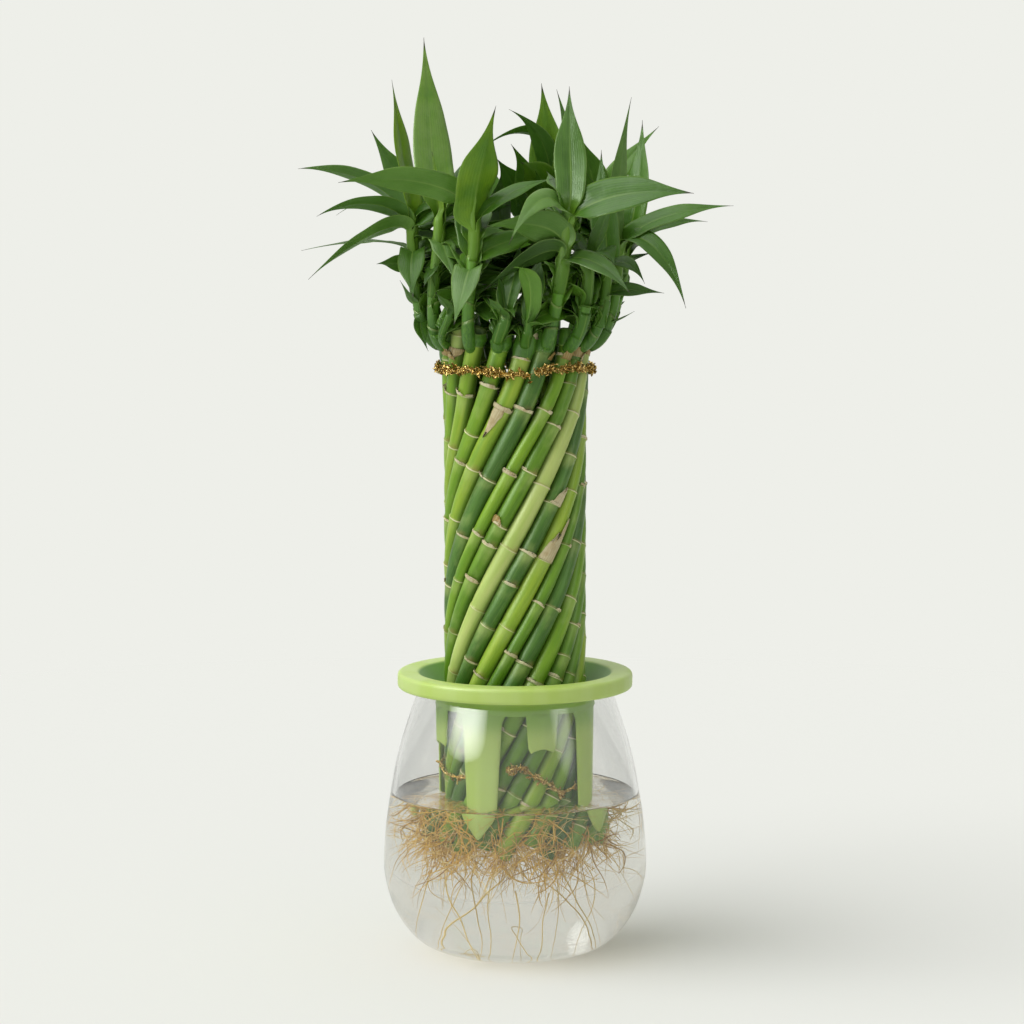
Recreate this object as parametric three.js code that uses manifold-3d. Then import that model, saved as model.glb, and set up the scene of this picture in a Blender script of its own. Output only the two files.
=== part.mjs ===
// A lucky bamboo: twenty canes wound into a spiral column and tied with gold wire, each with a
// leafy shoot, standing in a plastic basket that hangs in the mouth of a glass vase of water.
// Millimetres, +Z up. The origin is the middle of the vase's foot, and the front faces -Y.
// A bearing is an angle round the Z axis: 0 is the front, and it grows towards +X.

import * as THREE from 'three';
import { mergeVertices } from 'three/addons/utils/BufferGeometryUtils.js';
import Module from 'manifold-3d';

// ---------------------------------------------------------------- driving dimensions

const GAP = 0.3;                        // clearance between pieces that touch

const VASE_HEIGHT = 133;
const VASE_FOOT_RADIUS = 30;
const VASE_WALL = 2.2;
const VASE_FLOOR = 4;                   // thickness of the glass under the water
const VASE_OUTLINE = [                  // radius and height, foot to mouth
  [VASE_FOOT_RADIUS, 0], [47, 6], [58.5, 19], [64.6, 36], [65.4, 52],
  [62.8, 76], [57.2, 104], [47.8, VASE_HEIGHT],
];
const VASE_SEAM = 80;                   // the glass is modelled as a bowl and a shoulder above it
const VASE_STEPS = 11;                  // faces up the wall
const ROUND_STEPS = 36;                 // faces round the vase, the water and the ring

const WATER_LEVEL = 80;

const RING_OUTER = 58.3;
const RING_HEIGHT = 8;
const RING_TOP_INNER = 48.2;
const RING_EDGE = 1.4;                  // chamfer that stands for the rounded edge
const COLLAR_OUTER = 39.6;
const COLLAR_WALL = 1.9;
const COLLAR_TOP = 130;
const COLLAR_BOTTOM = 124.5;
const FUNNEL_MOUTH = 44.6;              // radius of the funnel where it meets the ring's underside

const LEG_COUNT = 8;                    // long and short legs take turns round the collar
const LEG_FIRST_BEARING = -25;
const LONG_LEG = { top: 32, waist: 25, tip: 8, bottom: 57 };   // widths in degrees, then height
const SHORT_LEG = { top: 25, waist: 21, tip: 17, bottom: 106 };
const LEG_BEND = 78;                    // below this height the long legs turn in to the canes
const LEG_GRIP = 35.7;                  // inner radius of the long legs at their tips

const COLUMN_RADIUS = 35.1;             // to the outermost line of every cane
const CANE_THICKNESS = [                // of each cane, in their order round the column
  9.0, 8.6, 8.8, 8.5, 8.5, 9.1, 9.4, 6.8, 8.3, 9.3,
  8.5, 8.9, 6.5, 9.0, 8.8, 8.8, 8.1, 9.2, 8.6, 7.9,
];
const CANE_CLEARANCE = 0.25;            // round each cane
const CANE_TURN = 365;                  // height in which a cane goes once round the column
const CANE_FIRST_EDGE = -184;           // bearing of the first cane's near side, at the next height
const CANE_BEARING_HEIGHT = 200;
const CANE_EASE_HEIGHT = 262;           // above this the canes wind less and less
const CANE_EASE = 0.0068;               // by this many degrees times the square of the height above
const CANE_FOOT = 52;
const CANE_FOOT_SPREAD = 3;
const CANE_TOP = 309;
const CANE_TOP_SPREAD = 5.5;
const CANE_STEPS = 12;
const CANE_SIDES = 8;

const TOP_TIE = { bottom: 288.6, height: 5, inner: COLUMN_RADIUS + 0.4, outer: 40.2 };
const LOWER_TIE = { bottom: 84, height: 5, inner: COLUMN_RADIUS + 0.3, outer: 37.2 };

const ROOT_TOP = 46.4;                  // just under the lowest cane end
const ROOT_OUTLINE = [                  // radius and height of the root mass, bottom to top
  [0, 8], [30, 10], [44, 19], [52, 34], [51, ROOT_TOP], [0, ROOT_TOP],
];

const SHOOT_FOOT = 302;                 // height at which the shoots leave the canes
const SHOOT_SEAT = 0.05;                // clearance from the column to a shoot's foot
const SHOOT_REACH = 15;                 // how straight out a shoot starts
const SHOOT_RADIUS = [3.2, 2.1];        // at the foot and at the top
const SHOOT_SIDES = 6;
const SHOOT_STEPS = 6;
const LEAF_THICKNESS = 0.9;
const LEAF_STEPS = 5;
const LEAF_BEND_AT = 0.3;               // where along the leaf its bend is strongest

// One entry for each cane's shoot. top is where its stem ends. Each leaf is a row of: place up the
// stem (0 to 1), tip x, y and z, how far its middle bows up and to +X, width, roll in degrees.
const SHOOTS = [
  { top: [-50, -8, 371], leaves: [
    [0.98, -60, 0, 432, 0, 0, 15, 0], [0.92, -95, -32, 366, 13, -2, 13, 35],
    [0.8, -99, -36, 336, 10, 0, 12, 50], [0.55, -67, -22, 343, 3, 0, 9, 60],
    [0.68, -49, -30, 327, 5, -1, 15, 0], [0.3, -56, -12, 335, -1, 0, 7, 0],
    [0.86, -26, 2, 370, 6, 0, 13, 0]] },
  { top: [-36, -20, 374], leaves: [
    [0.98, -44.5, 4, 452.5, 2, -2.5, 20, 0], [0.7, -29, -42, 336, 5, 0, 12, 0],
    [0.9, -20, 6, 398, 2, 0, 11, 0]] },
  { top: [-31, -34, 322], leaves: [
    [0.9, -38, -44, 330, 1, 0, 7, 0], [0.95, -24, -36, 338, 0, 0, 8, 0]] },
  { top: [-19.5, -42, 363], leaves: [
    [0.98, -9, -24, 418, -3, -5, 23, 0], [0.95, -83, -62, 382, 10, 8, 17, 65],
    [0.6, -29, -58, 315, 5, 0, 15, 0], [0.9, 19, -34, 384, 9, 0, 12, 30],
    [0.8, -15, -10, 372, 4, 0, 14, 0]] },
  { top: [-4.5, -46, 321], leaves: [
    [0.98, 3, -28, 356, -1, 0, 15, 0], [0.95, 3, -54, 317, 5, 0, 8, 0],
    [0.6, -13, -53, 331, 1, 0, 8, 0]] },
  { top: [6, -46, 319], leaves: [
    [0.98, 0, -60, 342, 12, 3, 12, 0], [0.8, 15, -54, 314, 3, 0, 6, 0],
    [0.9, 13, -26, 348, 4, 0, 12, 0]] },
  { top: [25.5, -44, 376], leaves: [
    [0.98, 26, -24, 428, 0, 1, 16.5, 0], [0.96, -1, -68, 356, 15, 0, 13, 60],
    [0.88, 84, -58, 377, 8, 0, 17, 60], [0.64, -15, -60, 361, 7, 4, 16, 60],
    [0.56, 54, -66, 330, 7, 3, 12, 30],
    [0.8, 14, -10, 378, 3, 0, 14, 0]] },
  { top: [35, -36, 343], leaves: [
    [0.95, 47, -50, 342, 14, 2, 15, 20], [0.9, 50, -30, 384, 0, 0, 14, 0],
    [0.5, 40, -50, 322, 2, 0, 8, 0],
    [0.9, 22, -16, 364, 4, 0, 13, 0]] },
  { top: [44, -22, 345], leaves: [
    [0.95, 62, -36, 334, 8, 2, 9, 30], [0.98, 42, -4, 398, 0, 0, 14, 0],
    [0.6, 72, -22, 329, 3, 0, 9, 45]] },
  { top: [50, -8, 356], leaves: [
    [0.98, 56, -18, 423, 0, 1, 10, 40], [0.95, 106, -12, 371, 10, 0, 13, 50],
    [0.85, 82, -32, 322, 16, 6, 12, 35], [0.25, 58, -14, 320, 0, 0, 4, 0],
    [0.9, 26, 0, 368, 6, 0, 13, 0]] },
  { top: [54, 8, 356], leaves: [
    [0.98, 63, 22, 413, 0, 4, 17, 0], [0.92, 95, 12, 363, 8, 0, 9, 30],
    [0.8, 78, 44, 343, 9, 0, 11, 0], [0.4, 53, 22, 322, 2, 0, 8, 0],
    [0.9, 34, 2, 388, 4, 0, 12, 0]] },
  { top: [40, 25, 374], leaves: [
    [0.96, 71.5, 28, 410, 3, -3, 12, 60], [0.98, 31, 8, 406, 0, 3, 17, 0],
    [0.85, 69, 54, 364, 9, 0, 13, 0], [0.6, 50, 58, 330, 8, 0, 10, 0]] },
  { top: [34, 35, 368], leaves: [
    [0.98, 21, 52, 429, 0, 3, 16, 0], [0.95, -11, 30, 403, 31, 4, 9, 30],
    [0.85, 58, 82, 370, 13, 0, 15, 0], [0.6, 40, 72, 328, 9, 0, 11, 0],
    [0.8, 18, 12, 366, 5, 0, 13, 0]] },
  { top: [18, 40, 374], leaves: [
    [0.98, 13, 20, 431, 0, 1, 17, 0], [0.96, -3, 12, 418, 11, 9, 11, 30],
    [0.9, 30, 96, 380, 13, 0, 16, 0], [0.6, 22, 76, 332, 10, 0, 12, 0],
    [0.8, 4, 20, 376, 4, 0, 13, 0]] },
  { top: [8, 46, 366], leaves: [
    [0.98, -2, 8, 401, 2, 5, 14, 0], [0.9, 6, 102, 362, 14, 0, 15, 0],
    [0.6, 0, 78, 326, 9, 0, 11, 0]] },
  { top: [-8, 46, 362], leaves: [
    [0.98, -7, 2, 386, 2, 0, 12, 0], [0.95, -14, 64, 398, 0, 0, 15, 0],
    [0.85, -30, 94, 374, 13, 0, 15, 0], [0.6, -18, 76, 330, 9, 0, 11, 0]] },
  { top: [-22, 40, 364], leaves: [
    [0.95, -18, 12, 386, 2, 0, 12, 0], [0.9, -54, 82, 360, 13, 0, 14, 0],
    [0.6, -38, 66, 326, 8, 0, 11, 0]] },
  { top: [-34, 34, 362], leaves: [
    [0.98, -40, 14, 394, 0, 0, 13, 0], [0.9, -72, 62, 380, 12, 0, 15, 0],
    [0.6, -52, 52, 328, 8, 0, 10, 0]] },
  { top: [-45, 22, 368], leaves: [
    [0.98, -71, 18, 408, 1, 0, 16, 60], [0.9, -90, 44, 366, 13, 0, 14, 0],
    [0.6, -60, 32, 342, 6, 0, 10, 0],
    [0.85, -26, 12, 360, 6, 0, 12, 0]] },
  { top: [-49, 8, 366], leaves: [
    [0.96, -107, 14, 389, 13, -2, 12, 40], [0.7, -105, 4, 349, 5, -3, 9, 0],
    [0.5, -58, 16, 340, 3, 0, 8, 0],
    [0.9, -34, 12, 388, 3, 0, 12, 0]] },
];

// ---------------------------------------------------------------- finishes

const finish = (color, roughness, extra = {}) =>
  new THREE.MeshStandardMaterial({ color, roughness, metalness: 0, ...extra });
const GLASS = finish(0xeef4f2, 0.05, { transparent: true, opacity: 0.3 });
const WATER = finish(0xe6e4da, 0.05, { transparent: true, opacity: 0.5 });
const LIME_PLASTIC = finish(0xa1bc62, 0.45);
const CANE_GREENS = [0x6f8f3c, 0x8fae55, 0x557a34, 0xa6bf6e].map((color) => finish(color, 0.4));
const LEAF_GREEN = finish(0x4f7f35, 0.45);
const GOLD_TINSEL = finish(0xb08a2c, 0.35, { metalness: 0.9 });
const ROOT_TAN = finish(0xb58b45, 0.8);

// ---------------------------------------------------------------- solids

const wasm = await Module();
wasm.setup();

const radians = THREE.MathUtils.degToRad;
const UP = new THREE.Vector3(0, 0, 1);

/** The unit vector that points out from the axis at a bearing. */
function outward(bearing) {
  return new THREE.Vector3(Math.sin(radians(bearing)), -Math.cos(radians(bearing)), 0);
}

/** A geometry with only its positions, its shared vertices merged. */
function welded(geometry) {
  geometry.deleteAttribute('normal');
  geometry.deleteAttribute('uv');
  return mergeVertices(geometry, 1e-4);
}

/** A closed geometry as a solid that can be joined and cut. */
function solidFrom(geometry) {
  const merged = welded(geometry);
  return new wasm.Manifold(new wasm.Mesh({
    numProp: 3,
    vertProperties: new Float32Array(merged.attributes.position.array),
    triVerts: new Uint32Array(merged.index.array),
  }));
}

/** A solid as a geometry for a mesh. */
function geometryFrom(solid) {
  const { numProp, vertProperties, triVerts } = solid.getMesh();
  const geometry = new THREE.BufferGeometry();
  geometry.setAttribute('position', new THREE.BufferAttribute(vertProperties, numProp));
  geometry.setIndex(new THREE.BufferAttribute(triVerts, 1));
  return geometry;
}

/** A profile of radius and height pairs turned round Z. */
function turned(profile, segments = ROUND_STEPS) {
  const points = profile.map(([radius, height]) => new THREE.Vector2(radius, height));
  return new THREE.LatheGeometry(points, segments).rotateX(Math.PI / 2);
}

/** A ring of rectangular section round the axis. */
function ring({ bottom, height, inner, outer }) {
  const top = bottom + height;
  return turned([[inner, bottom], [outer, bottom], [outer, top], [inner, top], [inner, bottom]]);
}

/** A grid of points, rows of equal length, closed round each row and capped at both ends. */
function loft(rows) {
  const across = rows[0].length;
  const indices = [];
  for (let row = 0; row + 1 < rows.length; row += 1) {
    for (let column = 0; column < across; column += 1) {
      const next = (column + 1) % across;
      const [a, b] = [row * across + column, row * across + next];
      indices.push(a, b, b + across, a, b + across, a + across);
    }
  }
  for (let column = 1; column + 1 < across; column += 1) {
    const last = (rows.length - 1) * across;
    indices.push(0, column + 1, column, last, last + column, last + column + 1);
  }
  const geometry = new THREE.BufferGeometry().setFromPoints(rows.flat());
  geometry.setIndex(indices);
  return geometry;
}

// ---------------------------------------------------------------- vase and water

/** Points up the vase's outside moved inwards by a distance. */
function vaseWall(inset) {
  const curve = new THREE.SplineCurve(VASE_OUTLINE.map((point) => new THREE.Vector2(...point)));
  return curve.getPoints(VASE_STEPS).map((point, step) => {
    const along = curve.getTangent(step / VASE_STEPS);
    return [point.x - along.y * inset, point.y + along.x * inset];
  });
}

/** The wall's points between two heights, with the ends worked out on the lines between them. */
function wallBetween(inset, low, high) {
  const wall = vaseWall(inset);
  const radiusAt = (height) => {
    const found = wall.findIndex((point) => point[1] >= height);
    const upper = found < 0 ? wall.length - 1 : Math.max(found, 1);
    const [[r0, z0], [r1, z1]] = [wall[upper - 1], wall[upper]];
    return r0 + (r1 - r0) * (height - z0) / (z1 - z0);
  };
  const between = wall.filter((point) => point[1] > low && point[1] < high);
  return [[radiusAt(low), low], ...between, [radiusAt(high), high]];
}

/** The vase's bowl: its floor and its wall up to the seam. */
function vaseBowl() {
  const top = VASE_SEAM - GAP / 2;
  const inside = wallBetween(VASE_WALL, VASE_FLOOR, top).reverse();
  return turned([[0, 0], ...wallBetween(0, 0, top), ...inside, [0, VASE_FLOOR]]);
}

/** The vase's shoulder: its wall from the seam to the mouth. */
function vaseShoulder() {
  const bottom = VASE_SEAM + GAP / 2;
  const outside = wallBetween(0, bottom, VASE_HEIGHT);
  return turned([...outside, ...wallBetween(VASE_WALL, bottom, VASE_HEIGHT).reverse(), outside[0]]);
}

/** The water, less the room that the canes, the legs and the roots take up. */
function water(legs) {
  const inset = VASE_WALL + GAP;
  const edge = wallBetween(inset, VASE_FLOOR + GAP, WATER_LEVEL);
  const body = turned([[0, VASE_FLOOR + GAP], ...edge, [0, WATER_LEVEL]]);
  const well = turned([[0, ROOT_TOP - GAP], [COLUMN_RADIUS + GAP, ROOT_TOP - GAP],
    [COLUMN_RADIUS + GAP, WATER_LEVEL + 1], [0, WATER_LEVEL + 1]]);
  const rooted = turned(ROOT_OUTLINE.map(([radius, height]) => [
    radius > 0 ? radius + GAP : 0, height + (height < ROOT_TOP ? -GAP : GAP)]));
  return geometryFrom([well, rooted, ...legs].reduce(
    (solid, hole) => solid.subtract(solidFrom(hole)), solidFrom(body)));
}

// ---------------------------------------------------------------- basket

/** A leg of the basket: a plate bent round the column, grown by a margin on every side. */
function leg(bearing, { top, waist, tip, bottom }, margin = 0) {
  const topHeight = COLLAR_BOTTOM + 2;
  const heights = [bottom - margin, bottom + 5, LEG_BEND, (LEG_BEND + topHeight) / 2, topHeight]
    .filter((height) => height <= topHeight && height >= bottom - margin).sort((a, b) => a - b);
  const columns = 4;
  const rows = heights.map((height) => {
    const along = (height - bottom) / (topHeight - bottom);
    const width = along < 0.12 ? THREE.MathUtils.lerp(tip, waist, along / 0.12)
      : THREE.MathUtils.lerp(waist, top, (along - 0.12) / 0.88);
    const turnIn = Math.min(1, Math.max(0, (LEG_BEND - height) / (LEG_BEND - LONG_LEG.bottom)));
    const straight = COLLAR_OUTER - COLLAR_WALL + 0.2;
    const inner = THREE.MathUtils.lerp(straight, LEG_GRIP, turnIn) - margin;
    const outer = inner + COLLAR_WALL - 0.4 + 2 * margin;
    const half = width / 2 + THREE.MathUtils.radToDeg(margin / COLLAR_OUTER);
    const face = (radius, sign) => Array.from({ length: columns + 1 }, (_, column) => {
      const turn = bearing + sign * half * (1 - 2 * column / columns);
      return outward(turn).multiplyScalar(radius).setZ(height);
    });
    return [...face(outer, -1), ...face(inner, 1)];
  });
  return loft(rows);
}

/** All the legs, long and short by turns. */
function legs(margin = 0) {
  return Array.from({ length: LEG_COUNT }, (_, index) =>
    leg(LEG_FIRST_BEARING + index * 360 / LEG_COUNT, index % 2 ? SHORT_LEG : LONG_LEG, margin));
}

/** The basket: rim ring, funnel and collar as one turned body, with the legs moulded on. */
function basket() {
  const underside = VASE_HEIGHT + GAP;
  const top = underside + RING_HEIGHT;
  const collarInner = COLLAR_OUTER - COLLAR_WALL;
  const body = turned([
    [RING_OUTER, underside + RING_EDGE], [RING_OUTER, top - RING_EDGE], [RING_OUTER - RING_EDGE, top],
    [RING_TOP_INNER, top], [collarInner, COLLAR_TOP], [collarInner, COLLAR_BOTTOM],
    [COLLAR_OUTER, COLLAR_BOTTOM], [COLLAR_OUTER, COLLAR_TOP - 1], [FUNNEL_MOUTH, underside],
    [RING_OUTER - RING_EDGE, underside], [RING_OUTER, underside + RING_EDGE],
  ]);
  return geometryFrom(legs().reduce((solid, piece) => solid.add(solidFrom(piece)), solidFrom(body)));
}

// ---------------------------------------------------------------- canes

const sum = (values) => values.reduce((total, value) => total + value, 0);

/** A cane's bearing at a height: thicker canes take more room round the column. */
function caneBearing(index, height) {
  const before = sum(CANE_THICKNESS.slice(0, index)) + CANE_THICKNESS[index] / 2;
  return CANE_FIRST_EDGE + 360 * before / sum(CANE_THICKNESS)
    + 360 * (height - CANE_BEARING_HEIGHT) / CANE_TURN
    - CANE_EASE * Math.max(0, height - CANE_EASE_HEIGHT) ** 2;
}

/** The line that a cane's middle follows up the column. */
class CaneLine extends THREE.Curve {
  constructor(index) {
    super();
    this.index = index;
    this.radius = COLUMN_RADIUS - CANE_THICKNESS[index] / 2;
    this.low = CANE_FOOT + CANE_FOOT_SPREAD * Math.sin(2.9 * index);
    this.high = CANE_TOP + CANE_TOP_SPREAD * Math.sin(1.7 * index + 4.45);
  }

  getPoint(t, target = new THREE.Vector3()) {
    const height = THREE.MathUtils.lerp(this.low, this.high, t);
    return target.copy(outward(caneBearing(this.index, height))).multiplyScalar(this.radius)
      .setZ(height);
  }
}

/** A disc outline with a few straight sides. */
function roundShape(radius, sides) {
  return new THREE.Shape(Array.from({ length: sides }, (_, side) => {
    const turn = 2 * Math.PI * side / sides;
    return new THREE.Vector2(radius * Math.cos(turn), radius * Math.sin(turn));
  }));
}

/** A cane: a straight-cut stick that winds round the column. */
function cane(index) {
  return new THREE.ExtrudeGeometry(
    roundShape(CANE_THICKNESS[index] / 2 - CANE_CLEARANCE, CANE_SIDES),
    { steps: CANE_STEPS, extrudePath: new CaneLine(index), bevelEnabled: false });
}

// ---------------------------------------------------------------- shoots and leaves

/** The line of a shoot's stem: out of the side of its cane, then up to its top. */
function stemLine(index, top) {
  const radial = outward(caneBearing(index, SHOOT_FOOT));
  const foot = radial.clone().multiplyScalar(COLUMN_RADIUS + SHOOT_SEAT).setZ(SHOOT_FOOT);
  const out = foot.clone().addScaledVector(radial, SHOOT_REACH);
  const below = top.clone().addScaledVector(UP, -0.35 * (top.z - SHOOT_FOOT));
  return new THREE.CubicBezierCurve3(foot, out, below, top);
}

/** A stem round its line, thinner towards the top. */
function stem(line) {
  const frames = line.computeFrenetFrames(SHOOT_STEPS, false);
  const rows = Array.from({ length: SHOOT_STEPS + 1 }, (_, step) => {
    const radius = THREE.MathUtils.lerp(...SHOOT_RADIUS, step / SHOOT_STEPS);
    const centre = line.getPointAt(step / SHOOT_STEPS);
    return Array.from({ length: SHOOT_SIDES }, (__, side) => {
      const turn = 2 * Math.PI * side / SHOOT_SIDES;
      return centre.clone().addScaledVector(frames.normals[step], radius * Math.cos(turn))
        .addScaledVector(frames.binormals[step], radius * Math.sin(turn));
    });
  });
  return loft(rows);
}

/** Half a leaf's width at a place along it, 0 at the base and 1 at the tip. */
function leafHalfWidth(width, t) {
  return 0.5 * width * (0.2 * (1 - t) + 0.96 * Math.sin(Math.PI * t ** 0.8) ** 0.9);
}

/** A leaf from its base to its tip: a thin blade, thickest along its middle. */
function leaf(base, [x, y, z, rise, bow, width, roll]) {
  const tip = new THREE.Vector3(x, y, z);
  const chord = tip.clone().sub(base);
  const bend = base.clone().addScaledVector(chord, LEAF_BEND_AT)
    .add(new THREE.Vector3(2 * bow, 0, 2 * rise));
  const line = new THREE.QuadraticBezierCurve3(base, bend, tip);
  const level = new THREE.Vector3(chord.y, -chord.x, 0).normalize();
  const rows = [];
  for (let step = 0; step <= LEAF_STEPS; step += 1) {
    const t = step / LEAF_STEPS;
    const along = line.getTangent(t);
    const side = level.clone().applyAxisAngle(along, radians(roll));
    const normal = along.clone().cross(side);
    const half = Math.max(leafHalfWidth(width, t), 0.4);
    const thick = LEAF_THICKNESS / 2;
    rows.push([[side, half], [normal, thick], [side, -half], [normal, -thick]]
      .map(([axis, distance]) => line.getPoint(t).addScaledVector(axis, distance)));
  }
  return loft(rows);
}

/** A shoot: its stem with all its leaves grown on. */
function shoot({ top, leaves }, index) {
  const line = stemLine(index, new THREE.Vector3(...top));
  return geometryFrom(leaves.reduce(
    (solid, [place, ...row]) => solid.add(solidFrom(leaf(line.getPointAt(place), row))),
    solidFrom(stem(line))));
}

// ---------------------------------------------------------------- the whole object

const object = new THREE.Group();

/** Adds a piece to the object under its name. */
function place(name, geometry, material) {
  const mesh = new THREE.Mesh(geometry, material);
  mesh.name = name;
  object.add(mesh);
}

const numbered = (name, index) => `${name}_${String(index + 1).padStart(2, '0')}`;

place('vase_bowl', vaseBowl(), GLASS);
place('vase_shoulder', vaseShoulder(), GLASS);
place('water', water(legs(GAP)), WATER);
place('planter_basket', basket(), LIME_PLASTIC);
CANE_THICKNESS.forEach((thickness, index) =>
  place(numbered('stalk', index), cane(index), CANE_GREENS[index % CANE_GREENS.length]));
SHOOTS.forEach((entry, index) => place(numbered('shoot', index), shoot(entry, index), LEAF_GREEN));
place('top_tie', ring(TOP_TIE), GOLD_TINSEL);
place('lower_tie', ring(LOWER_TIE), GOLD_TINSEL);
place('roots', turned(ROOT_OUTLINE), ROOT_TAN);

export default object;
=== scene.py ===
"""A lucky bamboo: twenty canes wound into a column, each with a leafy shoot, in a vase of water.

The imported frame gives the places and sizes, and this script gives every piece its shape and finish.
Sizes are in millimetres, and Skin turns them into Blender's metres. A bearing is an angle round the
upright axis in degrees: 0 is the front, and it grows towards the right. Every piece rides on the one
body of the part, because nothing here moves.
"""

from __future__ import annotations

import logging
import math
from dataclasses import dataclass, field, replace
from enum import Enum
from typing import Any, Mapping, Sequence

import bmesh
import bpy
import numpy as np
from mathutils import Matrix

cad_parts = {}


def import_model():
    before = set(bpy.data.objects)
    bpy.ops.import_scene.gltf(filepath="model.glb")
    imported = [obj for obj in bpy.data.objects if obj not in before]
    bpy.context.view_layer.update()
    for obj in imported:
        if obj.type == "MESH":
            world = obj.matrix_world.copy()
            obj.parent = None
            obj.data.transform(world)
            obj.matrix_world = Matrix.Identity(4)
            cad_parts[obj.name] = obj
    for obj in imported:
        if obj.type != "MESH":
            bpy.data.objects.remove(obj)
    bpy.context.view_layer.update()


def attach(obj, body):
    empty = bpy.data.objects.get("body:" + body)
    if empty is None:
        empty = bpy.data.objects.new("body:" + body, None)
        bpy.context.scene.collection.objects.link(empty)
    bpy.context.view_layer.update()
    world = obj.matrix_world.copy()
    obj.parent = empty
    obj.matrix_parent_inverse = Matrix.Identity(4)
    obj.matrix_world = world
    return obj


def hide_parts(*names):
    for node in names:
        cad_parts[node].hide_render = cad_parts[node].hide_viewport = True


LOG = logging.getLogger("lucky_bamboo")

MM = 0.001
BODY = "root"
UP = np.array([0.0, 0.0, 1.0])

Array = np.ndarray
Numbers = float | np.ndarray
Draws = np.random.Generator
Point = tuple[float, float, float]
Colour = tuple[float, float, float]
Knots = Sequence[tuple[float, float]]


# ---------------------------------------------------------------- shapes as numbers


def outward(bearing: Numbers) -> Array:
    """Unit vectors that point out from the axis, with x, y and z as the last dimension."""
    turn = np.radians(bearing)
    return np.stack([np.sin(turn), -np.cos(turn), np.zeros_like(turn)], axis=-1)


def unit(vectors: Array) -> Array:
    """The vectors brought to length 1."""
    return vectors / np.linalg.norm(vectors, axis=-1, keepdims=True)


def bell(distance: Numbers, width: float) -> Array:
    """1 at a distance of 0, falling smoothly to almost nothing at twice the width."""
    return np.exp(-np.square(np.asarray(distance) / width))


def ease(low: float, high: float, value: Numbers) -> Array:
    """0 below low, 1 above high, and a smooth step between them."""
    share = np.clip((np.asarray(value) - low) / (high - low), 0.0, 1.0)
    return share * share * (3 - 2 * share)


def full_turn(sides: int) -> Array:
    """Angles in radians that go once round in equal steps."""
    return np.linspace(0, 2 * math.pi, sides, endpoint=False)


def spline(knots: Knots, steps: int) -> Array:
    """A smooth line through knots, the same curve that the frame's outline follows.

    Args:
        knots: the points that the line passes through.
        steps: how many equal steps of the curve's parameter to take.

    Returns:
        The points of the line, steps + 1 of them.
    """
    points = np.array(knots, dtype=float)
    at = np.linspace(0, len(points) - 1, steps + 1)
    index = np.minimum(at.astype(int), len(points) - 2)
    t = (at - index)[:, None]
    before, start = points[np.maximum(index - 1, 0)], points[index]
    end, after = points[index + 1], points[np.minimum(index + 2, len(points) - 1)]
    leave, arrive = (end - before) / 2, (after - start) / 2
    cubic = 2 * start - 2 * end + leave + arrive
    square = -3 * start + 3 * end - 2 * leave - arrive
    return cubic * t**3 + square * t**2 + leave * t + start


def bezier(controls: Sequence[Sequence[float]], t: Array) -> Array:
    """Points on a Bezier curve.

    Args:
        controls: the curve's control points, three or four of them.
        t: where along the curve, from 0 to 1.

    Returns:
        The points, one for each value of t.
    """
    layers = [np.broadcast_to(np.asarray(c, dtype=float), (len(t), len(c))) for c in controls]
    while len(layers) > 1:
        layers = [a + (b - a) * t[:, None] for a, b in zip(layers, layers[1:])]
    return layers[0]


def rounded(corners: Sequence[Point], steps: int = 6) -> Array:
    """A closed outline with its corners rounded off.

    Args:
        corners: radius, height and how far from the corner the rounding starts.
        steps: points along each rounded corner.

    Returns:
        The outline's points of radius and height.
    """
    points = []
    for index, (radius, height, start) in enumerate(corners):
        here = np.array([radius, height])
        ways = [np.array(corners[(index + turn) % len(corners)][:2]) - here for turn in (-1, 1)]
        ends = [here + unit(way) * min(start, 0.49 * np.linalg.norm(way)) for way in ways]
        points.append(bezier([ends[0], here, ends[1]], np.linspace(0, 1, steps)))
    return np.concatenate(points)


def side_by_side(line: Array) -> tuple[Array, ...]:
    """Directions along a line and two square to it, carried along without a twist.

    Args:
        line: the points of the line.

    Returns:
        Three arrays of unit vectors: along the line, and the two square to it.
    """
    along = unit(np.gradient(line, axis=0))
    one = np.cross(along[0], UP if abs(along[0][2]) < 0.9 else outward(90))
    ones = []
    for way in along:
        one = unit(one - way * np.dot(one, way))
        ones.append(one)
    across = np.array(ones)
    return along, across, np.cross(along, across)


def spokes(line: Array, sides: int) -> tuple[Array, Array]:
    """Directions along a line, and a full turn of directions out from each of its points.

    Args:
        line: the points of the line.
        sides: how many directions there are round it.

    Returns:
        Unit vectors along the line, and a row of unit vectors out from each point.
    """
    along, one, two = side_by_side(line)
    turn = full_turn(sides)[None, :, None]
    return along, np.cos(turn) * one[:, None] + np.sin(turn) * two[:, None]


def tube(line: Array, radii: Array, sides: int) -> Array:
    """Rings of points round a line, one ring for each of its points."""
    return line[:, None] + spokes(line, sides)[1] * radii[:, None, None]


def turned(profile: Array, segments: int) -> Array:
    """A profile of radius and height turned round the axis, one row for each of its points."""
    ways = outward(np.linspace(0, 360, segments, endpoint=False))
    return profile[:, 0, None, None] * ways[None] + profile[:, 1, None, None] * UP


def wander(rng: Draws, count: int, waves: int) -> Array:
    """A smooth random line of numbers between about -1 and 1.

    Args:
        rng: where the random numbers come from.
        count: how many numbers to give.
        waves: how many times the line goes up and down at most.

    Returns:
        The numbers.
    """
    place = np.linspace(0, 2 * math.pi, count)
    turns = rng.uniform(0.3, 1.0, waves) * np.arange(1, waves + 1)
    starts = rng.uniform(0, 2 * math.pi, waves)
    return sum(np.sin(turn * place + start) for turn, start in zip(turns, starts)) / math.sqrt(2 * waves)


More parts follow.
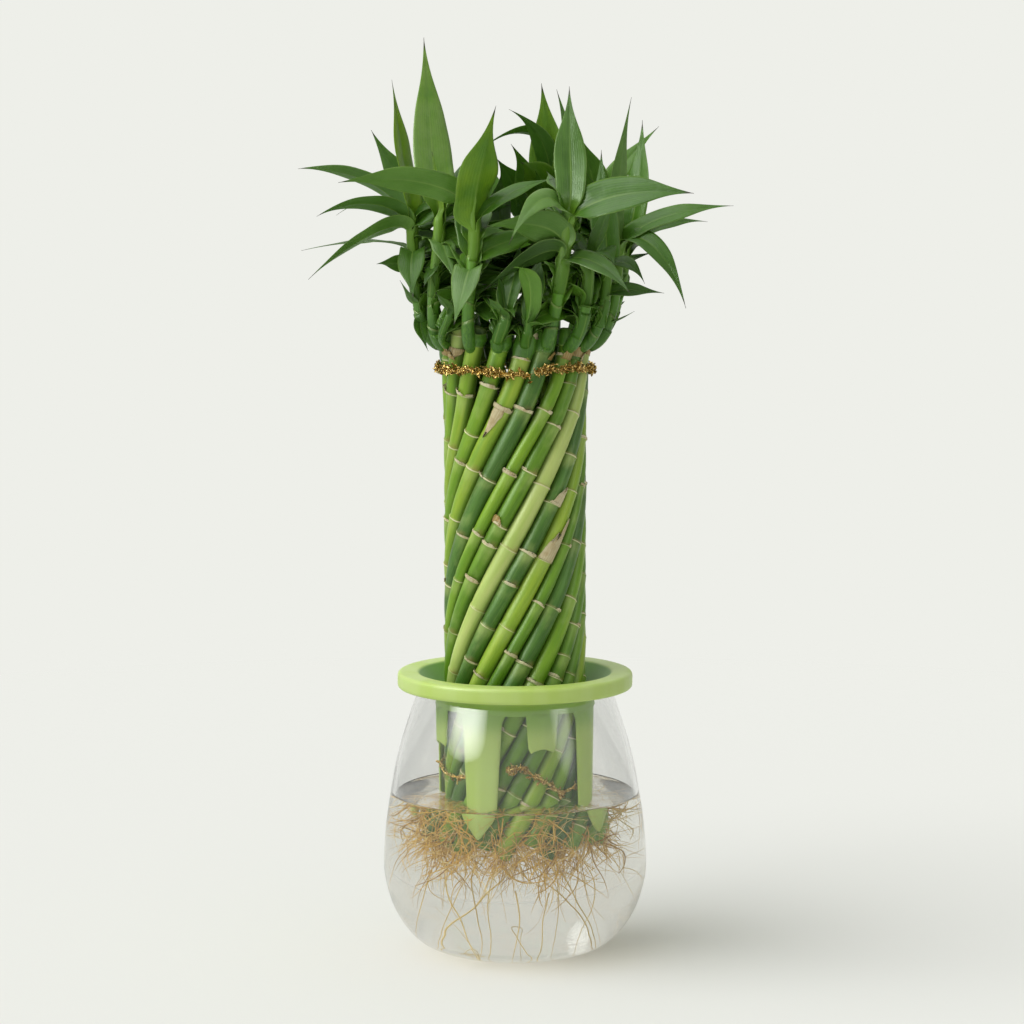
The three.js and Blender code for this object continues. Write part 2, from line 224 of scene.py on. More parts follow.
class Skin:
    """The points and faces of one piece while it is made, with named numbers at the points."""

    def __init__(self) -> None:
        """Starts with nothing."""
        self.points: list[Array] = []
        self.quads: list[Array] = []
        self.ends: list[list[int]] = []
        self.marks: dict[str, list[Array]] = {}
        self.count = 0

    def grid(self, rows: Array, looped: bool = False, **marks: Any) -> None:
        """Adds a closed surface: rows of points that each close on themselves.

        Args:
            rows: the points, as rows by columns by x, y and z.
            looped: whether the last row joins the first. Otherwise a face closes each end.
            marks: numbers at the points, in arrays that spread over rows and columns. The mark
                called grain holds vectors.
        """
        down, across = rows.shape[:2]
        index = self.count + np.arange(down * across).reshape(down, across)
        beside = np.roll(index, -1, axis=1)
        below, beside_below = np.roll(index, -1, axis=0), np.roll(beside, -1, axis=0)
        quads = np.stack([index, beside, beside_below, below], axis=-1)
        if not looped:
            quads = quads[:-1]
            self.ends += [index[0][::-1].tolist(), index[-1].tolist()]
        self.quads.append(quads.reshape(-1, 4))
        self.points.append(rows.reshape(-1, 3))
        for name, values in marks.items():
            size = (3,) if name == "grain" else ()
            spread = np.broadcast_to(values, (down, across, *size))
            self.marks.setdefault(name, []).append(spread.reshape(-1, *size))
        self.count += down * across

    def piece(self, name: str, material: bpy.types.Material) -> bpy.types.Object:
        """Makes the Blender object.

        Args:
            name: its name.
            material: its finish.

        Returns:
            The object, linked to the scene, with its faces turned outwards.
        """
        mesh = bpy.data.meshes.new(name)
        mesh.from_pydata((np.concatenate(self.points) * MM).tolist(), [],
                         np.concatenate(self.quads).tolist() + self.ends)
        for key, values in self.marks.items():
            numbers = np.concatenate(values).astype(np.float32)
            kind, part = ("FLOAT_VECTOR", "vector") if numbers.ndim == 2 else ("FLOAT", "value")
            mesh.attributes.new(key, kind, "POINT").data.foreach_set(part, numbers.ravel())
        shape = bmesh.new()
        shape.from_mesh(mesh)
        bmesh.ops.recalc_face_normals(shape, faces=shape.faces)
        shape.to_mesh(mesh)
        shape.free()
        mesh.shade_smooth()
        mesh.materials.append(material)
        made = bpy.data.objects.new(name, mesh)
        bpy.context.collection.objects.link(made)
        return made

    def fit(self, name: str, material: bpy.types.Material, slot: str, *nodes: str) -> None:
        """Makes the object, ties it to the frame and reports it.

        Args:
            name: its name.
            material: its finish.
            slot: the record's material slot, not used.
            nodes: the frame's nodes that it stands for.
        """
        piece = self.piece(name, material)
        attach(piece, BODY)
        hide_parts(*nodes)
        LOG.info("%s: %d faces, for %s", piece.name, len(piece.data.polygons), ", ".join(nodes))


# ---------------------------------------------------------------- materials


class Socket:
    """An output of a node. Its operators add Math nodes to the same tree."""

    def __init__(self, nodes: Nodes, source: bpy.types.NodeSocket) -> None:
        """Keeps the tree's nodes and the output."""
        self.nodes, self.source = nodes, source

    def maths(self, operation: str, *values: Socket | float) -> Socket:
        """One Math node on these values."""
        settings = {"operation": operation}
        return self.nodes.node("ShaderNodeMath", settings, dict(enumerate(values)))["Value"]

    def __add__(self, other: Socket | float) -> Socket:
        """This plus the other."""
        return self.maths("ADD", self, other)

    def __radd__(self, other: float) -> Socket:
        """The other plus this."""
        return self.maths("ADD", other, self)

    def __sub__(self, other: Socket | float) -> Socket:
        """This less the other."""
        return self.maths("SUBTRACT", self, other)

    def __rsub__(self, other: float) -> Socket:
        """The other less this."""
        return self.maths("SUBTRACT", other, self)

    def __mul__(self, other: Socket | float) -> Socket:
        """This times the other."""
        return self.maths("MULTIPLY", self, other)

    def __rmul__(self, other: float) -> Socket:
        """The other times this."""
        return self.maths("MULTIPLY", other, self)

    def sine(self) -> Socket:
        """The sine of this, in radians."""
        return self.maths("SINE", self)

    def size(self) -> Socket:
        """This without its sign."""
        return self.maths("ABSOLUTE", self)

    def most(self, other: Socket | float) -> Socket:
        """The greater of this and the other."""
        return self.maths("MAXIMUM", self, other)

    def step(self, low: float, high: float) -> Socket:
        """0 where this is below low, 1 above high, and a smooth step between."""
        settings = {"interpolation_type": "SMOOTHSTEP"}
        return self.nodes.node("ShaderNodeMapRange", settings, {0: self, 1: low, 2: high})["Result"]

    def stretched(self, stretch: Point) -> Socket:
        """This vector, stretched along its axes."""
        settings = {"operation": "MULTIPLY"}
        return self.nodes.node("ShaderNodeVectorMath", settings, {0: self, 1: stretch})[0]

    def length(self) -> Socket:
        """The length of this vector."""
        return self.nodes.node("ShaderNodeVectorMath", {"operation": "LENGTH"}, {0: self})["Value"]


class Added:
    """A node that was added, whose outputs are read by name or number."""

    def __init__(self, nodes: Nodes, made: bpy.types.Node) -> None:
        """Keeps the tree's nodes and the node."""
        self.nodes, self.made = nodes, made

    def __getitem__(self, name: str | int) -> Socket:
        """The output of that name or number."""
        return Socket(self.nodes, self.made.outputs[name])


class Nodes:
    """The nodes of a material or of the world."""

    def __init__(self, owner: bpy.types.Material | bpy.types.World, output: str) -> None:
        """Starts with only the output node.

        Args:
            owner: the material or the world.
            output: the output node's type.
        """
        owner.use_nodes = True
        self.owner, self.tree = owner, owner.node_tree
        self.tree.nodes.clear()
        self.output = self.tree.nodes.new(output)

    def node(self, kind: str, settings: Mapping[str, Any], inputs: Mapping[str | int, Any]) -> Added:
        """Adds one node.

        Args:
            kind: the node's type.
            settings: its options, set first. stops gives a ramp's places and colours.
            inputs: values or outputs for its sockets, by name or number.

        Returns:
            The node.
        """
        made = self.tree.nodes.new(kind)
        for name, value in settings.items():
            if name == "stops":
                stops = made.color_ramp.elements
                while len(stops) < len(value):
                    stops.new(0.5)
                for stop, (place, colour) in zip(stops, value):
                    stop.position, stop.color = place, (*colour, 1.0)
            else:
                setattr(made, name, value)
        for name, value in inputs.items():
            if isinstance(value, Socket):
                self.tree.links.new(value.source, made.inputs[name])
            elif isinstance(value, tuple) and made.inputs[name].type == "RGBA":
                made.inputs[name].default_value = (*value, 1.0)
            else:
                made.inputs[name].default_value = value
        return Added(self, made)

    def finished(self, surface: Socket) -> bpy.types.Material | bpy.types.World:
        """Joins the shader to the output and gives the nodes' owner."""
        self.tree.links.new(surface.source, self.output.inputs["Surface"])
        return self.owner


class Paint(Nodes):
    """The nodes of one material."""

    def __init__(self, name: str) -> None:
        """Starts a new material."""
        super().__init__(bpy.data.materials.new(name), "ShaderNodeOutputMaterial")

    def mark(self, name: str, output: str = "Fac") -> Socket:
        """The number, or the vector, that a piece's points carry under a name."""
        return self.node("ShaderNodeAttribute", {"attribute_name": name}, {})[output]

    def spot(self, stretch: Point) -> Socket:
        """The place on the object in millimetres, stretched along its axes."""
        here = self.node("ShaderNodeTexCoord", {}, {})["Object"]
        return here.stretched(tuple(part / MM for part in stretch))

    def noise(self, where: Socket, detail: float) -> Socket:
        """Soft random patches, from 0 to 1 and mostly near a half."""
        inputs = {"Vector": where, "Scale": 1.0, "Detail": detail}
        return self.node("ShaderNodeTexNoise", {}, inputs)["Fac"]

    def grain(self, across: float, along: float, detail: float) -> Socket:
        """Noise that follows a piece's fibres, by how often it changes across and along them."""
        return self.noise(self.mark("grain", "Vector").stretched((across, across, along)), detail)

    def mix(self, share: Socket | float, first: Socket | Colour, second: Socket | Colour) -> Socket:
        """The first colour, turned into the second by a share from 0 to 1."""
        settings = {"data_type": "RGBA", "clamp_factor": True}
        return self.node("ShaderNodeMix", settings, {0: share, 6: first, 7: second})[2]

    def coated(self, base: Socket | Colour, *coats: tuple[Socket | float, Socket | Colour]) -> Socket:
        """A colour with others laid over it.

        Args:
            base: the colour underneath.
            coats: the share of each coat, from 0 to 1, and its colour, from the lowest up.

        Returns:
            The colour on top.
        """
        for share, colour in coats:
            base = self.mix(share, base, colour)
        return base

    def ramp(self, place: Socket, *stops: tuple[float, Colour]) -> Socket:
        """The colour at a place from 0 to 1 on a ramp."""
        return self.node("ShaderNodeValToRGB", {"stops": stops}, {"Fac": place})["Color"]

    def bump(self, height: Socket, depth: float) -> Socket:
        """A normal for a surface whose height changes by up to a depth in millimetres."""
        return self.node("ShaderNodeBump", {}, {"Height": height, "Distance": depth * MM})["Normal"]

    def shader(self, **inputs: Any) -> Socket:
        """A Principled shader whose inputs are named with underscores for spaces."""
        named = {name.replace("_", " "): value for name, value in inputs.items()}
        return self.node("ShaderNodeBsdfPrincipled", {}, named)["BSDF"]

    def blend(self, share: Socket | float, first: Socket, second: Socket) -> Socket:
        """The first shader, turned into the second by a share from 0 to 1."""
        return self.node("ShaderNodeMixShader", {}, {0: share, 1: first, 2: second})["Shader"]


@dataclass(frozen=True)
class ClearFinish:
    """Something clear whose surface is faintly wavy."""

    name: str
    tint: Colour
    refraction: float
    waves: Point            # how often they come in each millimetre, along x, y and z
    wave_depth: float
    soft_tint: Colour       # of the light that crosses it in a straight line

    def material(self) -> bpy.types.Material:
        """The finish as a material.

        Lamps and soft light cross it in a straight line, so that what it holds is lit.

        Returns:
            The material.
        """
        paint = Paint(self.name)
        waves = paint.noise(paint.spot(self.waves), 1.0)
        clear = paint.shader(Base_Color=self.tint, Roughness=0.0, IOR=self.refraction,
                             Transmission_Weight=1.0, Normal=paint.bump(waves, self.wave_depth))
        ray = paint.node("ShaderNodeLightPath", {}, {})
        straight = paint.node("ShaderNodeBsdfTransparent", {}, {"Color": self.soft_tint})["BSDF"]
        soft = paint.blend(ray["Is Diffuse Ray"], clear, straight)
        return paint.finished(paint.blend(ray["Is Shadow Ray"], soft, straight))


@dataclass(frozen=True)
class ClearGlass(ClearFinish):
    """Polished clear glass, faintly wavy from blowing."""

    name: str = "clear_glass"
    tint: Colour = (0.860, 0.863, 0.858)
    refraction: float = 1.48
    waves: Point = (0.02, 0.02, 0.035)
    wave_depth: float = 0.15
    soft_tint: Colour = (0.99, 0.99, 0.985)


@dataclass(frozen=True)
class StillWater(ClearFinish):
    """Still water, faintly coloured by the roots."""

    name: str = "still_water"
    tint: Colour = (0.985, 0.972, 0.930)
    refraction: float = 1.333
    waves: Point = (0.03, 0.03, 0.03)
    wave_depth: float = 0.05
    soft_tint: Colour = (1.01, 1.0, 0.97)


@dataclass(frozen=True)
class LimePlastic:
    """Satin moulded plastic in lime green, a little milky, and deeper green in the funnel."""

    colour: Colour = (0.490, 0.635, 0.190)
    deep: Colour = (0.400, 0.560, 0.062)
    # the deeper green of the funnel, also the colour of the painted shade under the lid
    inside: Colour = (0.120, 0.320, 0.008)
    funnel_radius: float = 48.6
    collar_top: float = 130.0

    def material(self) -> bpy.types.Material:
        """The finish as a material: flow marks from moulding, a very fine grain, and painted shade under
        the lid.

        Returns:
            The material.
        """
        paint = Paint("lime_plastic")
        flow = paint.noise(paint.spot((0.05, 0.05, 0.012)), 3.0)
        fine = paint.noise(paint.spot((3.0, 3.0, 3.0)), 1.0)
        reach = paint.spot((1.0, 1.0, 0.0)).length()
        height = paint.node("ShaderNodeSeparateXYZ", {}, {0: paint.spot((1.0, 1.0, 1.0))})["Z"]
        low, edge = self.collar_top, self.funnel_radius
        funnel = (1 - reach.step(edge - 1.5, edge)) * height.step(low - 1, low + 3)
        # painted shade under the lid: faint on the collar and legs, strongest just below the lid
        below = (1 - height.step(low - 1, low + 1)) * (1 - reach.step(edge - 2.1, edge + 1.4))
        collar = below * (0.07 + 0.55 * height.step(low - 18, low - 7))
        colour = paint.coated(self.colour, (flow.step(0.35, 0.7) * 0.6, self.deep),
                              (funnel.most(collar), self.inside))
        surface = paint.shader(Base_Color=colour, Roughness=0.36 + 0.14 * flow,
                               Specular_IOR_Level=0.45, Subsurface_Weight=0.12,
                               Subsurface_Radius=(0.6, 1.0, 0.2), Subsurface_Scale=0.003,
                               Normal=paint.bump(fine, 0.02))
        return paint.finished(surface)


@dataclass(frozen=True)
class Greens:
    """The light and the dark green of one cane's skin."""

    light: Colour
    dark: Colour


class CaneTone(Enum):
    """The greens that canes of different age have."""

    PALE = Greens((0.540, 0.640, 0.200), (0.380, 0.520, 0.110))
    LIGHT = Greens((0.350, 0.500, 0.045), (0.200, 0.365, 0.020))
    FRESH = Greens((0.230, 0.410, 0.022), (0.130, 0.285, 0.010))
    MIDDLE = Greens((0.155, 0.320, 0.018), (0.085, 0.205, 0.010))
    DEEP = Greens((0.095, 0.225, 0.032), (0.045, 0.125, 0.014))


@dataclass(frozen=True)
class CaneSkin:
    """The living skin of a cane: fine fibres, a waxy bloom, tan rings at the nodes."""

    tone: CaneTone
    ring: Colour = (0.740, 0.690, 0.420)
    ring_edge: Colour = (0.300, 0.190, 0.070)
    bloom: Colour = (0.450, 0.570, 0.170)
    cut: Colour = (0.480, 0.440, 0.220)
    scar: Colour = (0.330, 0.270, 0.090)
    # the colour of the painted shade where a cane touches its neighbours
    shade: Colour = (0.050, 0.110, 0.012)

    def material(self) -> bpy.types.Material:
        """The finish as a material, read from the marks that a cane's points carry.

        Returns:
            The material.
        """
        paint = Paint(f"cane_skin_{self.tone.name.lower()}")
        greens = self.tone.value
        streaks, fibres = paint.grain(0.25, 0.02, 3.0), paint.grain(2.4, 0.12, 2.0)
        patches, rough = paint.grain(0.12, 0.07, 4.0), paint.grain(1.1, 1.1, 3.0)
        ring = paint.mark("ring")
        nicks = rough.step(0.70, 0.75) * patches.step(0.45, 0.6)
        ring_colour = paint.mix(rough.step(0.58, 0.8) * 0.7, self.ring, self.ring_edge)
        cut_colour = paint.mix(rough.step(0.35, 0.65), self.cut, self.ring_edge)
        colour = paint.coated(
            greens.light,
            (streaks.step(0.3, 0.72), greens.dark),
            (paint.mark("young") * 0.75, greens.dark),
            (patches.step(0.55, 0.75) * 0.25, self.bloom),
            (fibres.step(0.5, 0.8) * 0.12, self.bloom),
            (paint.mark("bloom") * patches.step(0.3, 0.65) * 0.45, self.bloom),
            (nicks * 0.5, self.scar),
            (paint.mark("aged") * 0.8, self.bloom),
            # painted shade along the sides where the cane touches its neighbours
            (paint.mark("groove") * 0.7, self.shade),
            (paint.mark("edge") * 0.75, self.ring_edge),
            (ring.step(0.35, 0.8), ring_colour),
            (paint.mark("cut"), cut_colour),
        )
        surface = paint.shader(Base_Color=colour, Roughness=0.32 + 0.16 * fibres + 0.3 * ring,
                               Specular_IOR_Level=0.28, Subsurface_Weight=0.05,
                               Subsurface_Radius=(0.5, 1.0, 0.2), Subsurface_Scale=0.002,
                               Normal=paint.bump(fibres * 0.4 + rough * ring * 1.6, 0.12))
        return paint.finished(surface)


@dataclass(frozen=True)
class DrySheath:
    """Papery tan remains of old leaf sheaths, some of them brown."""

    light: Colour = (0.700, 0.650, 0.420)
    dark: Colour = (0.400, 0.290, 0.130)
    brown: Colour = (0.300, 0.190, 0.030)

    def material(self) -> bpy.types.Material:
        """The finish as a material: long dry fibres.

        Returns:
            The material.
        """
        paint = Paint("dry_sheath")
        fibres, stains = paint.grain(2.0, 0.15, 3.0), paint.grain(0.3, 0.2, 3.0)
        brown = paint.mark("brown") * (0.7 + 0.3 * fibres.step(0.3, 0.6))
        colour = paint.coated(self.light, (fibres.step(0.35, 0.7) * 0.4, self.dark),
                              (stains.step(0.45, 0.7) * 0.6, self.dark), (brown, self.brown))
        surface = paint.shader(Base_Color=colour, Roughness=0.62 + 0.2 * fibres,
                               Normal=paint.bump(fibres, 0.2))
        return paint.finished(surface)


@dataclass(frozen=True)
class LeafSkin:
    """A leaf: parallel veins, a pale midrib and margin, a paler underside, a dark needle tip, and
    painted sheen and glints.
    """

    dark: Colour = (0.024, 0.076, 0.008)
    green: Colour = (0.054, 0.165, 0.010)
    fresh: Colour = (0.100, 0.255, 0.010)
    yellow: Colour = (0.240, 0.430, 0.008)
    pale: Colour = (0.300, 0.470, 0.090)
    # the paler underside's colour, also the colour of the painted sheen
    silver: Colour = (0.205, 0.345, 0.105)
    sheath_foot: Colour = (0.064, 0.185, 0.014)
    sheath_top: Colour = (0.170, 0.345, 0.022)
    tip: Colour = (0.030, 0.020, 0.012)
    through: Colour = (0.330, 0.560, 0.030)

    def material(self) -> bpy.types.Material:
        """The finish as a material, read from the marks that a leaf's points carry.

        Returns:
            The material.
        """
        paint = Paint("leaf_skin")
        across, along, upper = paint.mark("across"), paint.mark("along"), paint.mark("upper")
        soft, streaks = paint.grain(0.10, 0.10, 3.0), paint.grain(1.6, 0.05, 2.0)
        # small pale spots that are painted glints
        painted_glints = paint.grain(1.3, 1.3, 1.0)
        from_midrib, silvery = across.size(), paint.mark("silver")
        veins = ((across * 46.0 + soft * 1.5).sine() * 0.5 + 0.5) * (1 - along.step(0.85, 1.0))
        age = paint.mark("tone") + (soft - 0.5) * 0.5 - (1 - from_midrib.step(0.0, 0.7)) * 0.06
        # painted highlights: a silvery sheen along the margins, and over the leaves that carry the
        # silver mark
        painted_rim_highlight = from_midrib.step(0.3, 0.95) * streaks.step(0.3, 0.6) * (1 - along.step(0.5, 0.9))
        sheen = silvery * (0.35 + 0.65 * soft.step(0.35, 0.65)) * (1 - along * 0.35)
        sheath = paint.mix(paint.mark("stem").step(0.1, 0.95), self.sheath_foot, self.sheath_top)
        midrib = (1 - from_midrib.step(0.0, 0.09)) * (1 - along.step(0.3, 0.95))
        colour = paint.coated(
            paint.ramp(age, (0.0, self.dark), (0.4, self.green), (0.75, self.fresh),
                       (1.0, self.yellow)),
            (streaks.step(0.35, 0.7) * 0.22, self.fresh),
            (veins * 0.07, self.pale),
            ((1 - upper) * 0.05, self.silver),
            # painted sheen along the margins and over silvery leaves
            (painted_rim_highlight * (0.05 + 0.35 * silvery), self.silver),
            (sheen * 0.7, self.silver),
            (paint.mark("sheath") * 0.9, sheath),
            (midrib * 0.42, self.pale),
            (from_midrib.step(0.92, 1.0) * 0.40, self.pale),
            # painted glints
            (painted_glints.step(0.76, 0.82) * 0.35, self.pale),
            (along.step(0.93, 0.975), self.tip),
        )
        blade = paint.shader(Base_Color=colour, Roughness=0.28 + 0.14 * soft + 0.12 * (1 - upper),
                             Specular_IOR_Level=0.34,
                             Normal=paint.bump((veins + streaks) * 0.04 + soft * 0.8, 1.0))
        glow = paint.node("ShaderNodeBsdfTranslucent", {}, {"Color": self.through})["BSDF"]
        return paint.finished(paint.blend(0.16, blade, glow))


@dataclass(frozen=True)
class StemSkin:
    """A shoot's stem: dark swollen sheaths at its foot, pale rolled sheaths towards its top."""

    foot: Colour = (0.050, 0.150, 0.012)
    middle: Colour = (0.112, 0.285, 0.022)
    top: Colour = (0.155, 0.325, 0.020)
    lip: Colour = (0.330, 0.400, 0.120)

    def material(self) -> bpy.types.Material:
        """The finish as a material, read from the marks that a stem's points carry.

        Returns:
            The material.
        """
        paint = Paint("stem_skin")
        streaks, soft = paint.grain(1.3, 0.06, 3.0), paint.grain(0.25, 0.12, 3.0)
        height = paint.ramp(paint.mark("along"), (0.0, self.foot), (0.15, self.foot),
                            (0.4, self.middle), (1.0, self.top))
        colour = paint.coated(height, (streaks.step(0.4, 0.7) * 0.5, self.middle),
                              (soft.step(0.55, 0.7) * 0.35, self.top),
                              (paint.mark("lip") * 0.5, self.lip))
        surface = paint.shader(Base_Color=colour, Roughness=0.35 + 0.2 * soft,
                               Specular_IOR_Level=0.4, Normal=paint.bump(streaks, 0.12))
        return paint.finished(surface)


@dataclass(frozen=True)
class GoldTinsel:
    """Crinkled gold foil on twisted wire."""

    bright: Colour = (0.860, 0.640, 0.230)
    # the dark brown of the painted shade patches
    painted_shade_brown: Colour = (0.200, 0.110, 0.014)
    name: str = "gold_tinsel"

    def material(self) -> bpy.types.Material:
        """The finish as a material: metal, rougher and darker in patches, where the dark brown is
        painted shade.

        Returns:
            The material.
        """
        paint = Paint(self.name)
        crinkle = paint.noise(paint.spot((1.2, 1.2, 1.2)), 3.0)
        # patches of painted shade
        colour = paint.mix(crinkle.step(0.38, 0.56), self.bright, self.painted_shade_brown)
        surface = paint.shader(Base_Color=colour, Metallic=1.0, Roughness=0.20 + 0.25 * crinkle,
                               Normal=paint.bump(crinkle, 0.5))
        return paint.finished(surface)


@dataclass(frozen=True)
class RootFibre:
    """Wet golden roots, some orange-brown and some pale."""

    gold: Colour = (0.730, 0.450, 0.060)
    brown: Colour = (0.360, 0.185, 0.012)
    pale: Colour = (0.820, 0.640, 0.270)

    def material(self) -> bpy.types.Material:
        """The finish as a material, with each root's own age from its points.

        Returns:
            The material.
        """
        paint = Paint("root_fibre")
        age = paint.mark("age")
        stains = paint.noise(paint.spot((0.25, 0.25, 0.25)), 3.0)
        colour = paint.coated(self.gold, (age.step(0.45, 0.95), self.brown),
                              (1 - age.step(0.05, 0.4), self.pale),
                              (stains.step(0.5, 0.75) * 0.35, self.brown))
        surface = paint.shader(Base_Color=colour, Roughness=0.45 + 0.2 * stains,
                               Normal=paint.bump(stains, 0.1))
        return paint.finished(surface)


@dataclass(frozen=True)
class StudioPaper:
    """Matte studio paper that fades into the backdrop far from the object."""

    colour: Colour
    fade_start: float = 620.0
    fade_end: float = 1150.0

    def material(self) -> bpy.types.Material:
        """The finish as a material, clear beyond the fade.

        Returns:
            The material.
        """
        paint = Paint("studio_paper")
        reach = paint.spot((1.0, 1.0, 1.0)).length()
        paper = paint.shader(Base_Color=self.colour, Roughness=1.0, Specular_IOR_Level=0.0)
        clear = paint.node("ShaderNodeBsdfTransparent", {}, {})["BSDF"]
        return paint.finished(paint.blend(reach.step(self.fade_start, self.fade_end), paper, clear))


# ---------------------------------------------------------------- vase and water


@dataclass
class Vase:
    """A blown glass vase on a flat foot, round-bellied and narrow at the mouth."""

    outline: Knots = ((30, 0), (47, 6), (58.5, 19), (64.6, 36), (65.4, 52), (62.8, 76),
                      (57.2, 104), (47.8, 133))
    wall: float = 2.2
    floor: float = 4.0
    hollow_foot: float = 1.0
    lip_height: float = 0.9
    axis_gap: float = 0.5       # the radius at which the floor's faces end
    segments: int = 144

    def line(self, inset: float) -> Array:
        """The outside of the glass, moved inwards.

        Args:
            inset: how far inwards the line is moved.

        Returns:
            Points of radius and height, going up.
        """
        points = spline(self.outline, 88)
        along = unit(np.gradient(points, axis=0))
        return points + np.stack([-along[:, 1], along[:, 0]], axis=1) * inset

    def inner_radius(self, height: Numbers) -> Array:
        """How far the inside of the wall is from the axis at a height."""
        inside = self.line(self.wall)
        return np.interp(height, inside[:, 1], inside[:, 0])

    def cavity(self, top: float, grow: float = 0.0) -> Array:
        """The inside from the middle of the floor up to a height.

        Args:
            top: the height.
            grow: how far into the glass the line is moved.

        Returns:
            Points of radius and height, going up.
        """
        inside = self.line(self.wall - grow)
        base = self.floor - grow
        wall = inside[(inside[:, 1] > base + 5) & (inside[:, 1] < top)]
        corner = bezier([(24, base), (38.5, base + 0.1), wall[0]], np.linspace(0, 1, 12))[:-1]
        end = (float(np.interp(top, inside[:, 1], inside[:, 0])), top)
        return np.concatenate([[(self.axis_gap, base), (10, base), (18, base)], corner, wall, [end]])

    def build(self) -> None:
        """Makes the glass."""
        outside = self.line(0.0)
        top = float(outside[-1][1])
        inside = self.cavity(top - self.lip_height)[::-1]
        lip = bezier([outside[-1] - (0, self.lip_height), outside[-1] + (0.1, 0.35),
                      (inside[0][0], top + 0.3), inside[0]], np.linspace(0, 1, 9))[1:-1]
        foot = [(self.axis_gap, self.hollow_foot), (16, self.hollow_foot), (23, 0.5), (26, 0.05)]
        under_lip = outside[outside[:, 1] < top - self.lip_height - 0.05]
        skin = Skin()
        skin.grid(turned(np.concatenate([foot, under_lip, lip, inside]), self.segments))
        skin.fit("vase_glass", ClearGlass().material(), "vase_glass", "vase_bowl", "vase_shoulder")


@dataclass
class Water:
    """The water, up to its level, with a rim where it climbs the glass."""

    vase: Vase
    level: float = 79.6
    climb: float = 1.3
    climb_width: float = 0.85
    grow: float = 0.12          # how far the water reaches into the glass, so that no air is between

    def build(self) -> None:
        """Makes the body of water."""
        edge = self.vase.cavity(self.level + self.climb, self.grow)
        from_wall = np.array([0.35, 0.8, 1.5, 2.6, 4.5, 9.0, 18.0, 36.0])
        rise = self.climb * np.exp(-from_wall / self.climb_width)
        surface = np.stack([edge[-1][0] - from_wall, self.level + rise], axis=1)
        profile = np.concatenate([edge, surface, [(self.vase.axis_gap, self.level)]])
        skin = Skin()
        skin.grid(turned(profile, self.vase.segments))
        skin.fit("water_body", StillWater().material(), "water", "water")


# ---------------------------------------------------------------- basket


@dataclass(frozen=True)
class LegShape:
    """A leg's widths in degrees of bearing, the height it reaches down to, and its end's arch."""

    top: float
    waist: float
    tip: float
    bottom: float
    arch: float


class LegKind(Enum):
    """The two kinds of leg, which take turns round the collar."""

    LONG = LegShape(32, 23, 7, 66, -2.5)
    SHORT = LegShape(25, 21, 17, 106, 2.2)


@dataclass
class Basket:
    """The plastic basket: a thick ring on the vase's mouth, a funnel, a collar and eight legs."""

    outer: float = 58.3
    underside: float = 133.3
    height: float = 8.0
    top_inner: float = 48.2
    collar_outer: float = 39.6
    collar_wall: float = 1.9
    collar_top: float = 130.0
    collar_bottom: float = 124.5
    funnel_mouth: float = 44.6
    leg_count: int = 8
    first_bearing: float = -25.0
    leg_thickness: float = 1.5
    leg_bend: float = 78.0          # the height below which the legs turn in to the canes
    leg_turned_in: float = 57.0     # the height at which they would be against the canes
    leg_grip: float = 35.7
    leg_fold: float = 1.3
    leg_flare: float = 7.0          # degrees by which a leg widens into the collar
    segments: int = 144

    def rim(self) -> Skin:
        """The ring, the funnel and the collar.

        Returns:
            Its points and faces.
        """
        top, inner = self.underside + self.height, self.collar_outer - self.collar_wall
        profile = rounded([
            (self.outer, self.underside, 2.0), (self.outer, top, 2.2), (self.top_inner, top, 1.3),
            (inner, self.collar_top, 3.0), (inner, self.collar_bottom, 0.7),
            (self.collar_outer, self.collar_bottom, 0.7),
            (self.collar_outer, self.collar_top - 1, 3.0), (self.funnel_mouth, self.underside, 2.0),
        ])
        skin = Skin()
        skin.grid(turned(profile, self.segments), looped=True)
        return skin

    def leg(self, skin: Skin, bearing: float, shape: LegShape) -> None:
        """Adds a leg: a plate bent round the canes, folded along its middle.

        Args:
            skin: where the leg goes.
            bearing: the leg's middle.
            shape: its widths and reach.
        """
        top = self.collar_bottom + 2
        down = np.concatenate([np.linspace(0, 0.94, 26), np.linspace(0.955, 1, 6)])[:, None]
        across = np.linspace(-1, 1, 15)[None]
        middle = top + (shape.bottom - top) * down
        wide = np.interp(1 - down, [0, 0.12, 1], [shape.tip, shape.waist, shape.top]) \
            + self.leg_flare * bell(down, 0.06)
        turn_in = np.clip((self.leg_bend - middle) / (self.leg_bend - self.leg_turned_in), 0, 1)
        straight = self.collar_outer - self.collar_wall + 0.2
        fold = self.leg_fold * (1 - np.abs(across)) * ease(0.0, 0.15, down)
        inside = straight + (self.leg_grip - straight) * turn_in + fold
        height = middle + shape.arch * (1 - across**2) * ease(0.6, 1.0, down)
        slim = (1 - 0.8 * ease(0.97, 1.0, down)) * (1 - 0.75 * np.abs(across) ** 10)
        faces = []
        for side in (1, -1):
            radius = inside + self.leg_thickness * (0.5 + 0.5 * side * slim)
            angle = bearing + side * wide / 2 * across
            faces.append(outward(angle) * radius[..., None] + height[..., None] * UP)
        skin.grid(np.concatenate(faces, axis=1))

    def build(self) -> None:
        """Makes the rim and the legs."""
        plastic = LimePlastic().material()
        self.rim().fit("basket_rim", plastic, "basket_plastic", "planter_basket")
        skin = Skin()
        for index in range(self.leg_count):
            kind = LegKind.SHORT if index % 2 else LegKind.LONG
            self.leg(skin, self.first_bearing + index * 360 / self.leg_count, kind.value)
        skin.fit("basket_legs", plastic, "basket_plastic", "planter_basket")


# ---------------------------------------------------------------- canes

CANE_THICKNESS = (
    9.0, 8.6, 8.8, 8.5, 8.5, 9.1, 9.4, 6.8, 8.3, 9.3,
    8.5, 8.9, 6.5, 9.0, 8.8, 8.8, 8.1, 9.2, 8.6, 7.9,
)

